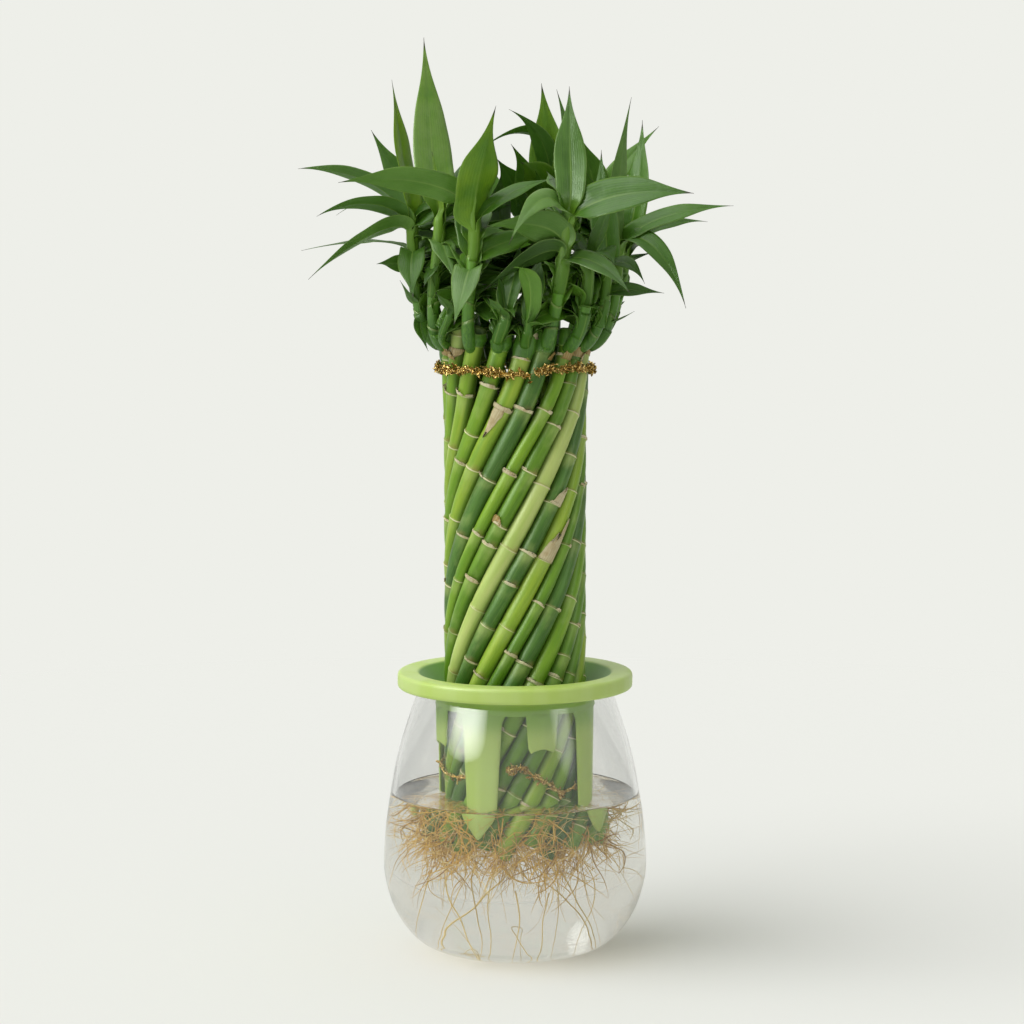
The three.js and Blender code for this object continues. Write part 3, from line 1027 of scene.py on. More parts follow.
CANE_TONES = (
    CaneTone.MIDDLE, CaneTone.FRESH, CaneTone.FRESH, CaneTone.LIGHT, CaneTone.FRESH,
    CaneTone.LIGHT, CaneTone.DEEP, CaneTone.FRESH, CaneTone.MIDDLE, CaneTone.PALE,
    CaneTone.DEEP, CaneTone.LIGHT, CaneTone.MIDDLE, CaneTone.DEEP, CaneTone.FRESH,
    CaneTone.MIDDLE, CaneTone.MIDDLE, CaneTone.LIGHT, CaneTone.FRESH, CaneTone.DEEP,
)

# Heights of the node rings that can be seen from the front, by cane. The others are spaced alike.
SEEN_RINGS: dict[int, tuple[float, ...]] = {
    2: (257.0, 280.0), 3: (254.2, 280.0), 4: (247.5, 261.5, 284.5), 5: (219.0, 244.5, 273.2),
    6: (211.5, 239.5, 272.8), 7: (189.0, 213.0, 242.0, 272.2),
    8: (163.0, 190.0, 207.8, 217.2, 243.2, 264.8, 284.5), 9: (143.8, 176.0, 206.0, 236.0, 269.8),
    10: (150.2, 167.5, 188.5, 203.5, 227.0, 249.7), 11: (143.0, 167.0, 199.8, 232.2),
    12: (153.8, 178.5, 206.2), 13: (149.2, 175.8, 206.8), 14: (139.5, 179.5),
    15: (141.5, 151.3, 166.0), 16: (142.0,),
}

# Degrees that a cane has strayed sideways at the upper tie. The ones left out stray by nothing.
TOP_LEAN = {0: -4.0, 1: -7.0, 2: -10.0, 3: -8.0, 4: -2.0, 5: 0.5, 6: -1.5, 7: 2.5, 8: 3.0, 9: 5.0,
            10: 4.5, 11: 3.0, 12: 1.5, 19: -2.0}

# The rows of points at a cut end, from the skin to the middle: the share of the cane's radius, the
# height past the end, and how far the row belongs to the cut.
CUT_ROWS = np.array([
    (0.97, -0.45, 0.0), (0.88, 0.0, 0.4), (0.87, 0.0, 1.0), (0.5, -0.25, 1.0), (0.12, -0.35, 1.0),
])

BARE_TOP = 2    # the cane whose cut top has no sheath


@dataclass
class Cane:
    """One cane of the column: a stick with node rings that winds round the axis."""

    index: int
    column_radius: float = 35.1
    turn: float = 365.0
    first_edge: float = -184.0
    bearing_height: float = 200.0
    ease_height: float = 262.0
    ease_rate: float = 0.0068
    flare: float = 1.4
    tie_height: float = 292.0
    foot: float = 57.0          # the mean height of the canes' feet
    top: float = 309.0          # the mean height of their cut tops
    ring_gap: tuple[float, float] = (23.0, 30.0)
    sides: int = 28
    seed: int = 700
    rng: Draws = field(init=False)
    radius: float = field(init=False)
    low: float = field(init=False)
    high: float = field(init=False)
    rings: Array = field(init=False)

    def __post_init__(self) -> None:
        """Sets the cane's thickness, its ends and its rings."""
        self.rng = np.random.default_rng(self.seed + self.index)
        self.radius = CANE_THICKNESS[self.index] / 2 + 0.05
        self.low = self.foot + 3 * math.sin(2.9 * self.index)
        self.high = self.top + 5.5 * math.sin(1.7 * self.index + 4.45)
        seen = list(SEEN_RINGS.get(self.index, (float(self.rng.uniform(170, 195)),)))
        while seen[0] > self.low + 27:
            seen.insert(0, seen[0] - self.rng.uniform(*self.ring_gap))
        while seen[-1] < self.high - 30:
            seen.append(seen[-1] + self.rng.uniform(*self.ring_gap))
        self.rings = np.array(seen)

    @property
    def slant(self) -> float:
        """Millimetres along the cane for each millimetre of height."""
        return math.hypot(1, 2 * math.pi * (self.column_radius - self.radius) / self.turn)

    def reach(self, height: Numbers) -> Numbers:
        """How far the cane's middle is from the axis at a height: further out above the tie."""
        spread = self.flare * ease(self.ease_height, self.tie_height + 8, height)
        return self.column_radius - self.radius + spread

    def bearing(self, height: Numbers) -> Numbers:
        """The cane's bearing at a height: thicker canes take more room round the column.

        Args:
            height: one height or an array of them.

        Returns:
            The bearing at each of them.
        """
        before = sum(CANE_THICKNESS[:self.index]) + CANE_THICKNESS[self.index] / 2
        lean = TOP_LEAN.get(self.index, 0.0) * ease(self.ease_height - 12, self.tie_height, height)
        above = np.maximum(0, height - self.ease_height)
        return self.first_edge + 360 * before / sum(CANE_THICKNESS) + lean \
            + 360 * (height - self.bearing_height) / self.turn - self.ease_rate * above**2

    def surface(self, height: Array, turn: Array, radius: Array) -> Array:
        """Points on or near the cane's skin.

        Args:
            height: the height of the cane's middle there.
            turn: the angle round the cane in radians, 0 facing out from the column.
            radius: the distance from the cane's middle.

        Returns:
            The points, in the shape that the three arrays spread to.
        """
        facing = outward(self.bearing(height))
        reach = self.reach(height)[..., None]
        rate = np.radians(self.bearing(height + 0.5) - self.bearing(height - 0.5))[..., None]
        along = unit(np.cross(UP, facing) * rate * reach + UP)
        beside = np.cross(along, facing)
        middle = facing * reach + height[..., None] * UP
        return middle + (facing * np.cos(turn)[..., None] + beside * np.sin(turn)[..., None]) \
            * radius[..., None]

    def spot(self, height: float, turn: float, radius: float) -> Array:
        """One point on or near the cane's skin, by the same three numbers."""
        return self.surface(np.array([height]), np.array([turn]), np.array([radius]))[0]

    def stations(self) -> Array:
        """Heights of the rows of points: close together at the rings, wider apart between.

        Returns:
            The heights, going up.
        """
        near = np.array([-4, -2.4, -1.4, -0.85, -0.5, -0.25, 0, 0.25, 0.5, 0.8, 1.3, 2.2, 3.8])
        close = (self.rings[:, None] + near[None] / self.slant).ravel()
        even = np.linspace(self.low, self.high, 60)
        gap = np.abs(even[:, None] - self.rings[None]).min(axis=1)
        rows = np.sort(np.concatenate([close, even[gap > 4.2 / self.slant]]))
        return rows[(rows > self.low + 0.6) & (rows < self.high - 0.6)]

    def cut_end(self, end: float, sign: int) -> tuple[Array, ...]:
        """One of the cane's cut ends, from the skin to the middle of the cut.

        Args:
            end: the end's height.
            sign: 1 at the top and -1 at the foot.

        Returns:
            The points, how far each belongs to the cut, and the grain there.
        """
        share, past, cut = CUT_ROWS.T[:, :, None]
        turn = full_turn(self.sides)
        radius = self.radius * share + 0 * turn
        height = end + sign * past + 0 * turn
        grain = np.stack([np.cos(turn) * radius, np.sin(turn) * radius, height * self.slant], axis=-1)
        return self.surface(height, turn, radius), cut + 0 * turn, grain

    def build_skin(self) -> Skin:
        """The cane's points and faces, with the marks that its finish reads.

        Returns:
            The skin, ready to become an object.
        """
        heights, turn = self.stations(), full_turn(self.sides)
        offsets = (heights[:, None] - self.rings) * self.slant
        nearest = np.abs(offsets).argmin(axis=1)
        offset = offsets[np.arange(len(heights)), nearest][:, None]
        strength = self.rng.uniform(0.5, 1.3, len(self.rings))[nearest][:, None]
        lean = self.rng.uniform(0, 2 * math.pi, len(self.rings))[nearest][:, None]
        place = offset + 0.35 * np.sin(turn - lean) * bell(offset, 3.0)
        bud_turn = np.where(nearest % 2, 0.5, math.pi - 0.9) + self.rng.normal(0, 0.3)
        facing = np.angle(np.exp(1j * (turn - bud_turn[:, None])))
        bud = bell(facing, 0.42) * bell(place - 1.5, 1.3)
        ring = bell(place, 0.42)
        swell = 0.13 * bell(place + 0.8, 2.6) - 0.16 * bell(place - 2.0, 1.5)
        lobes = 0.07 * np.sin(2 * turn + lean) + 0.05 * wander(self.rng, len(heights), 9)[:, None]
        ragged = 0.75 + 0.25 * np.sin(3 * turn + 2 * lean)
        radius = self.radius + swell + lobes + 0.30 * strength * ring * ragged + 0.5 * bud
        internode = np.where(offset > 0, offset, 26 + offset)
        marks = {
            "ring": ring * np.clip(strength, 0.75, 1.05) * (0.5 + 0.5 * ragged),
            "edge": bell(place - 0.75, 0.24) * 0.7 + 0.6 * bud,
            "bloom": ease(7, 0, np.abs(place + 2.0)) * (place < 1.0),
            "young": (1 - ease(0, 12, internode)) * 0.7,
            "aged": (self.index == BARE_TOP) * ease(294, 304, heights)[:, None],
            # painted shade along both sides, where the cane touches its neighbours
            "groove": bell(np.abs(np.sin(turn)) - 1, 0.16),
        }
        rim = ((len(CUT_ROWS),) * 2, (0, 0))
        spread = {name: np.pad(values + 0 * radius, rim) for name, values in marks.items()}
        grain = np.stack([np.cos(turn) * self.radius + 40 * self.index + 0 * radius,
                          np.sin(turn) * self.radius + 0 * radius,
                          (heights * self.slant)[:, None] + 0 * radius], axis=-1)
        middle = (self.surface(heights[:, None], turn, radius), 0 * radius, grain)
        low = (part[::-1] for part in self.cut_end(self.low, -1))
        parts = zip(low, middle, self.cut_end(self.high, 1))
        points, cut, grain = (np.concatenate(part) for part in parts)
        skin = Skin()
        skin.grid(points, grain=grain, cut=cut, **spread)
        return skin


@dataclass(frozen=True)
class Scrap:
    """A papery remain of a sheath on a cane.

    length is along the cane from the ring and points down where it is negative. turn and spread are
    angles round the cane in degrees, lift is how far its free edge stands off the skin.
    """

    cane: int
    height: float
    turn: float
    spread: float
    length: float
    lift: float = 0.4
    taper: float = 0.8
    brown: float = 0.0


SCRAPS = (
    Scrap(5, 273.2, -12, 70, -16, 0.3, 0.8, 0.45), Scrap(5, 273.2, 0, 150, 2.6, 0.5, 0.1, 0.3),
    Scrap(11, 199.8, 0, 105, 16, 0.45, 0.8, 0.3), Scrap(11, 203, 25, 60, 20, 0.3, 0.8, 0.3),
    Scrap(3, 280, -30, 120, 2.4, 0.8, 0.3), Scrap(2, 280, -60, 90, 4.0, 1.4, 0.3),
    Scrap(2, 280, -85, 40, 6, 3.0, 0.6, 0.3), Scrap(6, 272.8, -10, 130, 1.7, 0.9, 0.2),
    Scrap(6, 239.5, -50, 70, 1.6, 0.9, 0.5), Scrap(7, 242, -10, 140, 2.2, 1.0, 0.3, 0.2),
    Scrap(10, 203.5, -10, 110, 1.5, 0.8, 0.4), Scrap(10, 227, 10, 70, 10, 1.3, 0.8, 0.2),
    Scrap(8, 190, 10, 120, 2.6, 0.8, 0.4, 0.3), Scrap(4, 284.5, 5, 120, 2.2, 0.8, 0.3),
    Scrap(7, 213, 5, 70, 1.6, 0.9, 0.5), Scrap(10, 188.5, 0, 80, 1.5, 0.8, 0.4),
    Scrap(12, 153.8, 0, 130, 1.9, 0.9, 0.3, 0.2), Scrap(11, 143, -10, 100, 1.5, 0.6, 0.4),
    Scrap(8, 207.8, 0, 90, 1.6, 0.8, 0.4), Scrap(14, 139.5, 0, 140, 1.8, 0.7, 0.3),
    Scrap(8, 217.2, -35, 90, 4.5, 0.8, 0.6, 1.0), Scrap(1, 299.0, 20, 150, 6, 1.6, 0.5, 0.9),
    Scrap(2, 297.5, -25, 150, 5, 1.9, 0.5, 0.9), Scrap(2, 303.0, 35, 110, -5, 1.4, 0.7, 0.8),
    Scrap(7, 297.0, 20, 150, 6, 1.4, 0.5, 0.9), Scrap(8, 297.5, -20, 160, 6, 1.7, 0.4, 0.8),
    Scrap(8, 296.0, 40, 100, 8, 1.9, 0.6, 0.6), Scrap(9, 298.0, -30, 150, 6, 1.6, 0.5, 0.9),
    Scrap(6, 298.0, 55, 80, 5, 1.2, 0.6, 1.0), Scrap(5, 311.0, 65, 90, -3.5, 1.0, 0.3, 0.2),
)


@dataclass
class Column:
    """All the canes, with what is left of their leaf sheaths."""

    canes: list[Cane] = field(default_factory=lambda: [Cane(i) for i in range(len(CANE_TONES))])
    seed: int = 31
    scrap_share: float = 0.45       # of the rings that keep a small scrap

    def scrap(self, skin: Skin, plan: Scrap, rng: Draws) -> None:
        """Adds a scrap: a thin torn sheet that hugs the cane and stands off at its free edge.

        Args:
            skin: where the scrap goes.
            plan: its place and size.
            rng: where its torn edges come from.
        """
        cane = self.canes[plan.cane]
        down, wide = np.linspace(0, 1, 12)[:, None], np.linspace(-1, 1, 15)[None]
        torn = 1 - 0.36 * np.abs(wander(rng, 15, 7))[None] * down
        ragged = 1 + 0.12 * wander(rng, 12, 6)[:, None]
        half = math.radians(plan.spread / 2) * (1 - plan.taper * down**1.4) * ragged
        turn = math.radians(plan.turn) + half * wide
        height = plan.height + plan.length / cane.slant * down * torn
        lift = 0.30 + 0.25 * bell(down - 0.3, 0.3) + plan.lift * (down**2 + 0.25 * wide**4)
        layers = [cane.surface(height, turn, cane.radius + lift + depth) for depth in (0.09, -0.09)]
        grain = np.stack([turn * cane.radius + 9 * plan.cane, 0 * turn, height * cane.slant], axis=-1)
        skin.grid(np.concatenate([layers[0], layers[1][:, ::-1]], axis=1),
                  grain=np.concatenate([grain, grain[:, ::-1]], axis=1), brown=plan.brown)

    def build(self) -> None:
        """Makes the canes and the scraps."""
        skins = {tone: CaneSkin(tone).material() for tone in CaneTone}
        for cane, tone in zip(self.canes, CANE_TONES):
            name = f"{cane.index + 1:02d}"
            cane.build_skin().fit(f"cane_{name}", skins[tone], "cane", f"stalk_{name}")
        rng = np.random.default_rng(self.seed)
        scraps = list(SCRAPS)
        for cane in self.canes:
            for ring in cane.rings:
                if rng.random() < self.scrap_share and cane.low + 8 < ring < cane.high - 6:
                    scraps.append(Scrap(cane.index, float(ring) + 0.1, rng.uniform(-80, 80),
                                        rng.uniform(40, 130), rng.uniform(0.7, 1.6),
                                        rng.uniform(0.15, 0.6), rng.uniform(0.1, 0.5)))
        skin = Skin()
        for plan in scraps:
            self.scrap(skin, plan, rng)
        carriers = sorted({f"stalk_{plan.cane + 1:02d}" for plan in scraps})
        skin.fit("sheath_scraps", DrySheath().material(), "cane", *carriers)


# ---------------------------------------------------------------- shoots and leaves


@dataclass(frozen=True)
class Leaf:
    """One leaf: where it leaves the stem, where its tip is, and how its blade bends.

    place is from 0 at the stem's foot to 1 at its top. rise and bow are how far the middle of the
    blade stands above and to the right of the straight line to the tip. roll turns the blade round
    that line, in degrees. tone is from 0, dark, to 1, yellow-green, and below 0 it is left to chance.
    silver is how much painted silvery sheen it has.
    """

    place: float
    x: float
    y: float
    z: float
    rise: float
    bow: float
    width: float
    roll: float
    tone: float = -1.0
    silver: float = 0.0

    def lowered(self) -> Leaf:
        """The same leaf, opening lower on the stem where it is one of the top ones."""
        return replace(self, place=self.place - 0.10) if 0.9 < self.place < 1 else self


@dataclass(frozen=True)
class ShootPlan:
    """The top of a shoot's stem, and its leaves."""

    top: Point
    leaves: tuple[Leaf, ...]


def shoot(top: Point, *rows: tuple[float, ...]) -> ShootPlan:
    """A plan from the stem's top and a row of numbers for each leaf."""
    return ShootPlan(top, tuple(Leaf(*row) for row in rows))


SHOOTS = (
    shoot((-50, -8, 371), (0.98, -60, 0, 432, 0, 0, 15, 0, 1.0),
          (0.92, -95, -32, 366, 11, -2, 12, 35, 0.35), (0.8, -99, -36, 336, 10, 0, 12, 50, 0.5, 0.4),
          (0.55, -67, -22, 343, 3, 0, 9, 60, 0.3), (0.68, -49, -30, 327, 3, -1, 14, 0, 0.35, 0.3),
          (0.3, -56, -12, 335, -1, 0, 7, 0, 0.2), (0.86, -26, 2, 370, 6, 0, 13, 0, 0.2),
          (0.22, -42, -23, 301, 3, -3, 7, 0, 0.15)),
    shoot((-36, -20, 374), (0.98, -44.5, 4, 452.5, 2, -2.5, 20, 0, 0.88, 1.0),
          (0.87, -40, -23, 397, 0, 1, 4.5, 0, 0.95), (0.7, -29, -42, 336, 4, 0, 12, 0, 0.35, 0.8),
          (0.9, -20, 6, 398, 2, 0, 11, 0, 0.3), (0.55, -44, -26, 332, 4, 0, 11, 20, 0.1),
          (0.8, -22, -10, 366, 3, 0, 14, 0, 0.1)),
    shoot((-31, -34, 322), (0.9, -38, -44, 330, 1, 0, 6, 0, 0.1),
          (0.95, -24, -36, 338, 0, 0, 7, 0, 0.1)),
    shoot((-19.5, -42, 366), (0.98, -9, -53, 418, -3, -3.5, 25, 0, 0.86),
          (1.0, -83, -62, 382, 9, 0, 16, 58, 0.66, 0.35), (0.6, -29, -58, 315, 3, 0, 15, 0, 0.4, 0.8),
          (0.9, 19, -34, 384, 6, 0, 12, 30, 0.35), (0.8, -15, -10, 372, 4, 0, 14, 0, 0.15),
          (0.7, -20, -26, 384, 2, -4, 13, 0, 0.2)),
    shoot((-4.5, -46, 321), (0.98, 3, -28, 356, -1, 0, 12, 0, 0.1),
          (0.95, 0, -55, 318, 5, 0, 6.5, 0, 0.3, 0.2), (0.8, -13, -53, 328, 1, 0, 7, 0, 0.3),
          (0.9, -8, -40, 338, 2, 0, 10, 20, 0.1)),
    shoot((6.5, -46, 316), (0.98, -2, -60, 342, 12, 5, 12.5, 0, 0.72, 0.25),
          (0.8, 15, -54, 314, 3, 0, 5, 0, 0.4), (0.9, 13, -26, 348, 4, 0, 12, 0, 0.1),
          (0.9, 12, -46, 330, 1, 0, 7, 0, 0.4)),
    shoot((25.5, -44, 376), (0.98, 26, -24, 428, 0, 1, 16.5, 0, 0.3, 0.35),
          (0.74, -3, -68, 353, 22, 0, 14, -45, 0.5, 0.9), (0.80, 84, -58, 377, 8, 0, 21, 62, 0.32, 0.0),
          (0.64, -15, -55, 361, 9, 4, 18.5, 60, 0.5, 0.45),
          (0.56, 54, -66, 330, 7, 3, 12, 30, 0.2, 0.25), (0.8, 14, -10, 378, 3, 0, 14, 0, 0.2),
          (0.6, -15, -40, 331, 9, 3, 14, 40, 0.03)),
    shoot((35, -36, 343), (0.95, 47, -50, 342, 12, 2, 15, 20, 0.15),
          (0.9, 50, -30, 384, 0, 0, 14, 0, 0.5), (0.5, 40, -50, 322, 2, 0, 8, 0, 0.2),
          (0.9, 22, -16, 364, 4, 0, 13, 0, 0.15)),
    shoot((44, -22, 345), (0.95, 62, -36, 334, 8, 2, 8, 30, 0.1),
          (0.98, 42, -4, 398, 0, 0, 14, 0, 0.35), (0.6, 72, -22, 329, 3, 0, 8, 45, 0.1)),
    shoot((50, -8, 356), (0.98, 56, -18, 423, 0, -4, 10, 0, 0.5, 0.95),
          (0.95, 106, -12, 371, 8, 0, 12, 50, 0.4), (0.85, 82, -32, 322, 16, 6, 12, 35, 0.3),
          (0.25, 58, -14, 320, 0, 0, 3.5, 0, 0.1), (0.9, 26, 0, 368, 6, 0, 13, 0, 0.2)),
    shoot((54, 8, 356), (0.98, 63, 22, 413, 0, 4, 17, 0, 0.5), (0.92, 95, 12, 363, 8, 0, 9, 30),
          (0.8, 78, 44, 343, 9, 0, 11, 0), (0.4, 53, 22, 322, 2, 0, 8, 0),
          (0.9, 34, 2, 388, 4, 0, 12, 0)),
    shoot((40, 25, 374), (0.96, 71.5, 28, 410, 3, -3, 12, 60, 0.7),
          (0.98, 31, 8, 406, 0, 3, 19, 0, 0.6), (0.85, 69, 54, 364, 9, 0, 13, 0),
          (0.6, 50, 58, 330, 8, 0, 10, 0)),
    shoot((34, 35, 368), (0.98, 21, 52, 429, 0, 3, 16, 0, 0.5),
          (0.95, -20, 26, 396, 34, 4, 11, 30, 0.5), (0.85, 58, 82, 370, 13, 0, 15, 0),
          (0.6, 40, 72, 328, 9, 0, 11, 0), (0.8, 18, 12, 366, 5, 0, 13, 0)),
    shoot((18, 40, 374), (0.98, 13, 20, 431, 0, 1, 21, 0, 0.9), (0.96, -3, 12, 418, 11, 9, 12, 30, 0.4),
          (0.9, 30, 96, 380, 13, 0, 16, 0), (0.6, 22, 76, 332, 10, 0, 12, 0),
          (0.9, 3, 8, 392, 6, 0, 19, 40, 0.8), (0.8, 4, 20, 376, 4, 0, 13, 0)),
    shoot((8, 46, 366), (0.98, -2, 8, 401, 2, 5, 16, 0, 0.6), (0.9, 6, 102, 362, 14, 0, 15, 0),
          (0.85, -9, 20, 394, 5, 0, 17, 30, 0.35), (0.6, 0, 78, 326, 9, 0, 11, 0)),
    shoot((-8, 46, 362), (0.98, -7, 2, 386, 2, 0, 12, 0), (0.95, -14, 64, 398, 0, 0, 15, 0),
          (0.85, -30, 94, 374, 13, 0, 15, 0), (0.6, -18, 76, 330, 9, 0, 11, 0)),
    shoot((-22, 40, 364), (0.95, -18, 12, 386, 2, 0, 12, 0), (0.9, -54, 82, 360, 13, 0, 14, 0),
          (0.6, -38, 66, 326, 8, 0, 11, 0)),
    shoot((-34, 34, 362), (0.98, -40, 14, 394, 0, 0, 13, 0), (0.9, -72, 62, 380, 12, 0, 15, 0),
          (0.6, -52, 52, 328, 8, 0, 10, 0)),
    shoot((-45, 22, 368), (0.98, -71, 18, 408, 1, 0, 16, 60), (0.9, -90, 44, 366, 13, 0, 14, 0),
          (0.6, -60, 32, 342, 6, 0, 10, 0), (0.85, -26, 12, 360, 6, 0, 12, 0)),
    shoot((-49, 8, 366), (0.96, -107, 14, 389, 13, -2, 12, 40), (0.7, -105, 4, 349, 5, -3, 9, 0),
          (0.5, -58, 16, 340, 3, 0, 8, 0), (0.9, -34, 12, 388, 3, 0, 12, 0)),
)


# The radii of thin stems at the foot and at the top, by cane.
THIN_STEMS = {2: (1.7, 1.2), 5: (2.3, 1.3)}

# Heights at which the sheaths round the canes' tops begin. The others begin 9 mm below the top.
COLLAR_FEET = {3: 304.0, 4: 302.0, 5: 297.5, 6: 300.0, 7: 303.0}

# The height from which the stems grow paler, and how far above it they are palest.
CANE_TOPS, CROWN_RISE = 302.0, 72.0


@dataclass
class Shoot:
    """A leafy shoot: a stem out of the side of its cane, wrapped in sheaths, and its leaves."""

    cane: Cane
    plan: ShootPlan
    foot_height: float = 302.0
    foot_radius: float = 2.85
    top_radius: float = 2.3
    sheath_length: float = 13.0
    set_out: float = 4.5            # how far out from its foot a stem bends up
    side_set_out: float = 11.5      # how much further at the column's sides
    upright: float = 0.45           # the share of its height for which its top points up
    bend_at: float = 0.3            # where on the way to its tip a leaf bends most
    blade_thickness: float = 0.32
    stem_sides: int = 18
    collar_sides: int = 20
    seed: int = 400
    rng: Draws = field(init=False)
    line: Array = field(init=False)         # fine points along the stem's middle
    places: Array = field(init=False)       # where each of them is, from 0 to 1
    length: float = field(init=False)

    def __post_init__(self) -> None:
        """Lays out the stem's line in even steps: shoots at the column's sides start further out."""
        self.rng = np.random.default_rng(self.seed + self.cane.index)
        bearing = float(self.cane.bearing(self.foot_height))
        if self.cane.index in THIN_STEMS:
            self.foot_radius, self.top_radius = THIN_STEMS[self.cane.index]
        if self.cane.index == BARE_TOP:
            bearing -= 5.0
        radial, sideways = outward(bearing), math.sin(math.radians(bearing)) ** 2
        foot = radial * (float(self.cane.reach(self.foot_height)) + 1.6) + self.foot_height * UP
        top = np.array(self.plan.top, dtype=float)
        below = top - self.upright * (top[2] - self.foot_height) * UP
        out = radial * (self.set_out + self.side_set_out * sideways)
        away = foot + out + UP * (9.0 - 6.0 * sideways)
        self.line = bezier([foot, away, below, top], np.linspace(0, 1, 400))
        steps = np.linalg.norm(np.diff(self.line, axis=0), axis=1)
        self.length = float(np.cumsum(steps)[-1])
        self.places = np.concatenate([[0], np.cumsum(steps)]) / self.length

    def spot(self, place: Numbers) -> Array:
        """The point on the stem's middle at a place from 0 to 1."""
        return np.stack([np.interp(place, self.places, self.line[:, axis]) for axis in range(3)], -1)

    def stem_radius(self, place: Numbers) -> Array:
        """The stem's radius at a place from 0 to 1, swollen near its foot."""
        straight = self.foot_radius + (self.top_radius - self.foot_radius) * ease(0.15, 1.0, place)
        return straight + 0.35 * bell(np.asarray(place) - 0.10, 0.10)

    def sleeve(self, skin: Skin, start: float, end: float, facing: Array, thick: float) -> None:
        """Adds an old sheath wrapped round the stem, with its lip higher on one side.

        Args:
            skin: where it goes.
            start: the place on the stem where the sheath begins.
            end: the place of its lip.
            facing: the direction in which the lip is highest.
            thick: how far the lip stands off the stem.
        """
        share = np.linspace(0, 1, 9)
        places = start + (end - start) * share
        middle = self.spot(places)
        along, ways = spokes(middle, self.stem_sides)
        near = 0.5 + 0.5 * ways @ unit(facing)
        slope = (3.4 * near - 1.4) * (share**2)[:, None]
        off = 0.03 + thick * (share**0.8)[:, None] * (0.5 + 0.9 * near)
        outer = middle[:, None] + ways * (self.stem_radius(places)[:, None] + off)[..., None]
        outer = outer + along[:, None] * slope[..., None]
        inner = outer[-1:] - ways[-1:] * (thick * 0.5 + 0.15) - along[-1:, None] * 0.1
        sunk = inner - ways[-1:] * 0.5 - along[-1:, None] * 1.2
        rows = np.concatenate([outer, inner, sunk])
        lips = np.concatenate([bell(1 - share, 0.07), [0.6, 0.3]])[:, None]
        lengths = np.concatenate([places, [end, end]])[:, None] * self.length
        skin.grid(rows, along=self.climb(rows), lip=lips, grain=self.grain(rows, lengths))

    @staticmethod
    def grain(rows: Array, lengths: Array) -> Array:
        """A place for each point that runs along the fibres: x and y as they are, z along them."""
        return np.concatenate([rows[..., :2], np.broadcast_to(lengths, rows.shape[:2])[..., None]], -1)

    @staticmethod
    def climb(rows: Array) -> Array:
        """How far up the plant each point is, from 0 at the canes' tops to 1 at the top leaves."""
        return np.clip((rows[..., 2] - CANE_TOPS) / CROWN_RISE, 0, 1)

    def collar(self, skin: Skin) -> None:
        """Adds the sheath round the cane's cut top, out of which the shoot grows.

        Args:
            skin: where it goes.
        """
        cane, turn = self.cane, full_turn(self.collar_sides)
        share = np.linspace(0, 1, 12)
        low = COLLAR_FEET.get(cane.index, cane.high - 9.0)
        heights = low + (max(cane.high + 0.8, low + 7.5) - low) * share
        bulge = 0.12 + 0.75 * bell(share - 0.5, 0.36) + 0.12 * np.sin(share * 9 + cane.index)
        lobed = 0.25 * np.sin(2 * turn + cane.index)[None] * share[:, None]
        radius = cane.radius + bulge[:, None] + lobed
        slope = 1.5 * np.sin(turn + 1.3 * cane.index)[None] * share[:, None] ** 2
        outer = cane.surface(heights[:, None] + slope, turn, radius)
        inner = [cane.surface(heights[-1] + slope[-1:] - drop, turn, radius[-1:] - inset)
                 for drop, inset in ((0.1, 0.45), (1.6, 0.7), (4.0, 1.0), (7.0, 1.6))]
        rows = np.concatenate([outer, *inner])
        lips = np.concatenate([bell(1 - share, 0.06) + 0.8 * bell(share, 0.06), [1, 0.6, 0, 0]])[:, None]
        along = np.concatenate([0.08 + 0.25 * share, [0.33, 0.3, 0.1, 0]])[:, None]
        skin.grid(rows, along=along, lip=lips, grain=self.grain(rows, along * 50))

    def stem(self) -> Skin:
        """The stem, with the old sheaths that have lost their leaves.

        Returns:
            Its points and faces.
        """
        skin = Skin()
        places = np.concatenate([np.linspace(0.0, 0.84, 34), [0.855, 0.87, 0.88, 0.885]])
        line = self.spot(places)
        line[0] -= unit(line[1] - line[0]) * 1.6
        radii = self.stem_radius(places) + 0.06 * np.sin(places * self.length / 1.9)
        radii[-4:] *= (0.9, 0.7, 0.45, 0.15)
        rows = tube(line, radii, self.stem_sides)
        skin.grid(rows, along=self.climb(rows), lip=0.0,
                  grain=self.grain(rows, (places * self.length)[:, None]))
        turn, place = self.rng.uniform(0, 360), 2.0
        while place < 0.7 * self.length:
            long = self.rng.uniform(10, 15)
            self.sleeve(skin, place / self.length, min((place + long) / self.length, 0.86),
                        outward(turn), self.rng.uniform(0.14, 0.34))
            turn += 180 + self.rng.uniform(-30, 30)
            place += long * self.rng.uniform(0.75, 0.95)
        if self.cane.index != BARE_TOP:
            self.collar(skin)
        return skin

    def half_width(self, leaf: Leaf, t: Array) -> Array:
        """Half of a leaf's width along it: a base that clasps the stem, a belly, a drawn-out tip.

        Args:
            leaf: its place and width.
            t: how far along it, from 0 to 1.

        Returns:
            Half of the width at each of those places.
        """
        past = np.clip((t - 0.03) / 0.97, 0, 1)
        belly = np.sin(math.pi * past ** (0.80 if leaf.silver > 0.7 else 0.92)) ** 1.12
        drawn = 1 - 0.45 * ease(0.66, 0.96, t)
        clasp = min(1.6 * float(self.stem_radius(leaf.place)), 0.34 * leaf.width)
        half = 0.5 * leaf.width * belly * drawn + clasp * (1 - ease(0.06, 0.42, t))
        return np.maximum(half, 0.10 + 0.1 * (1 - t))

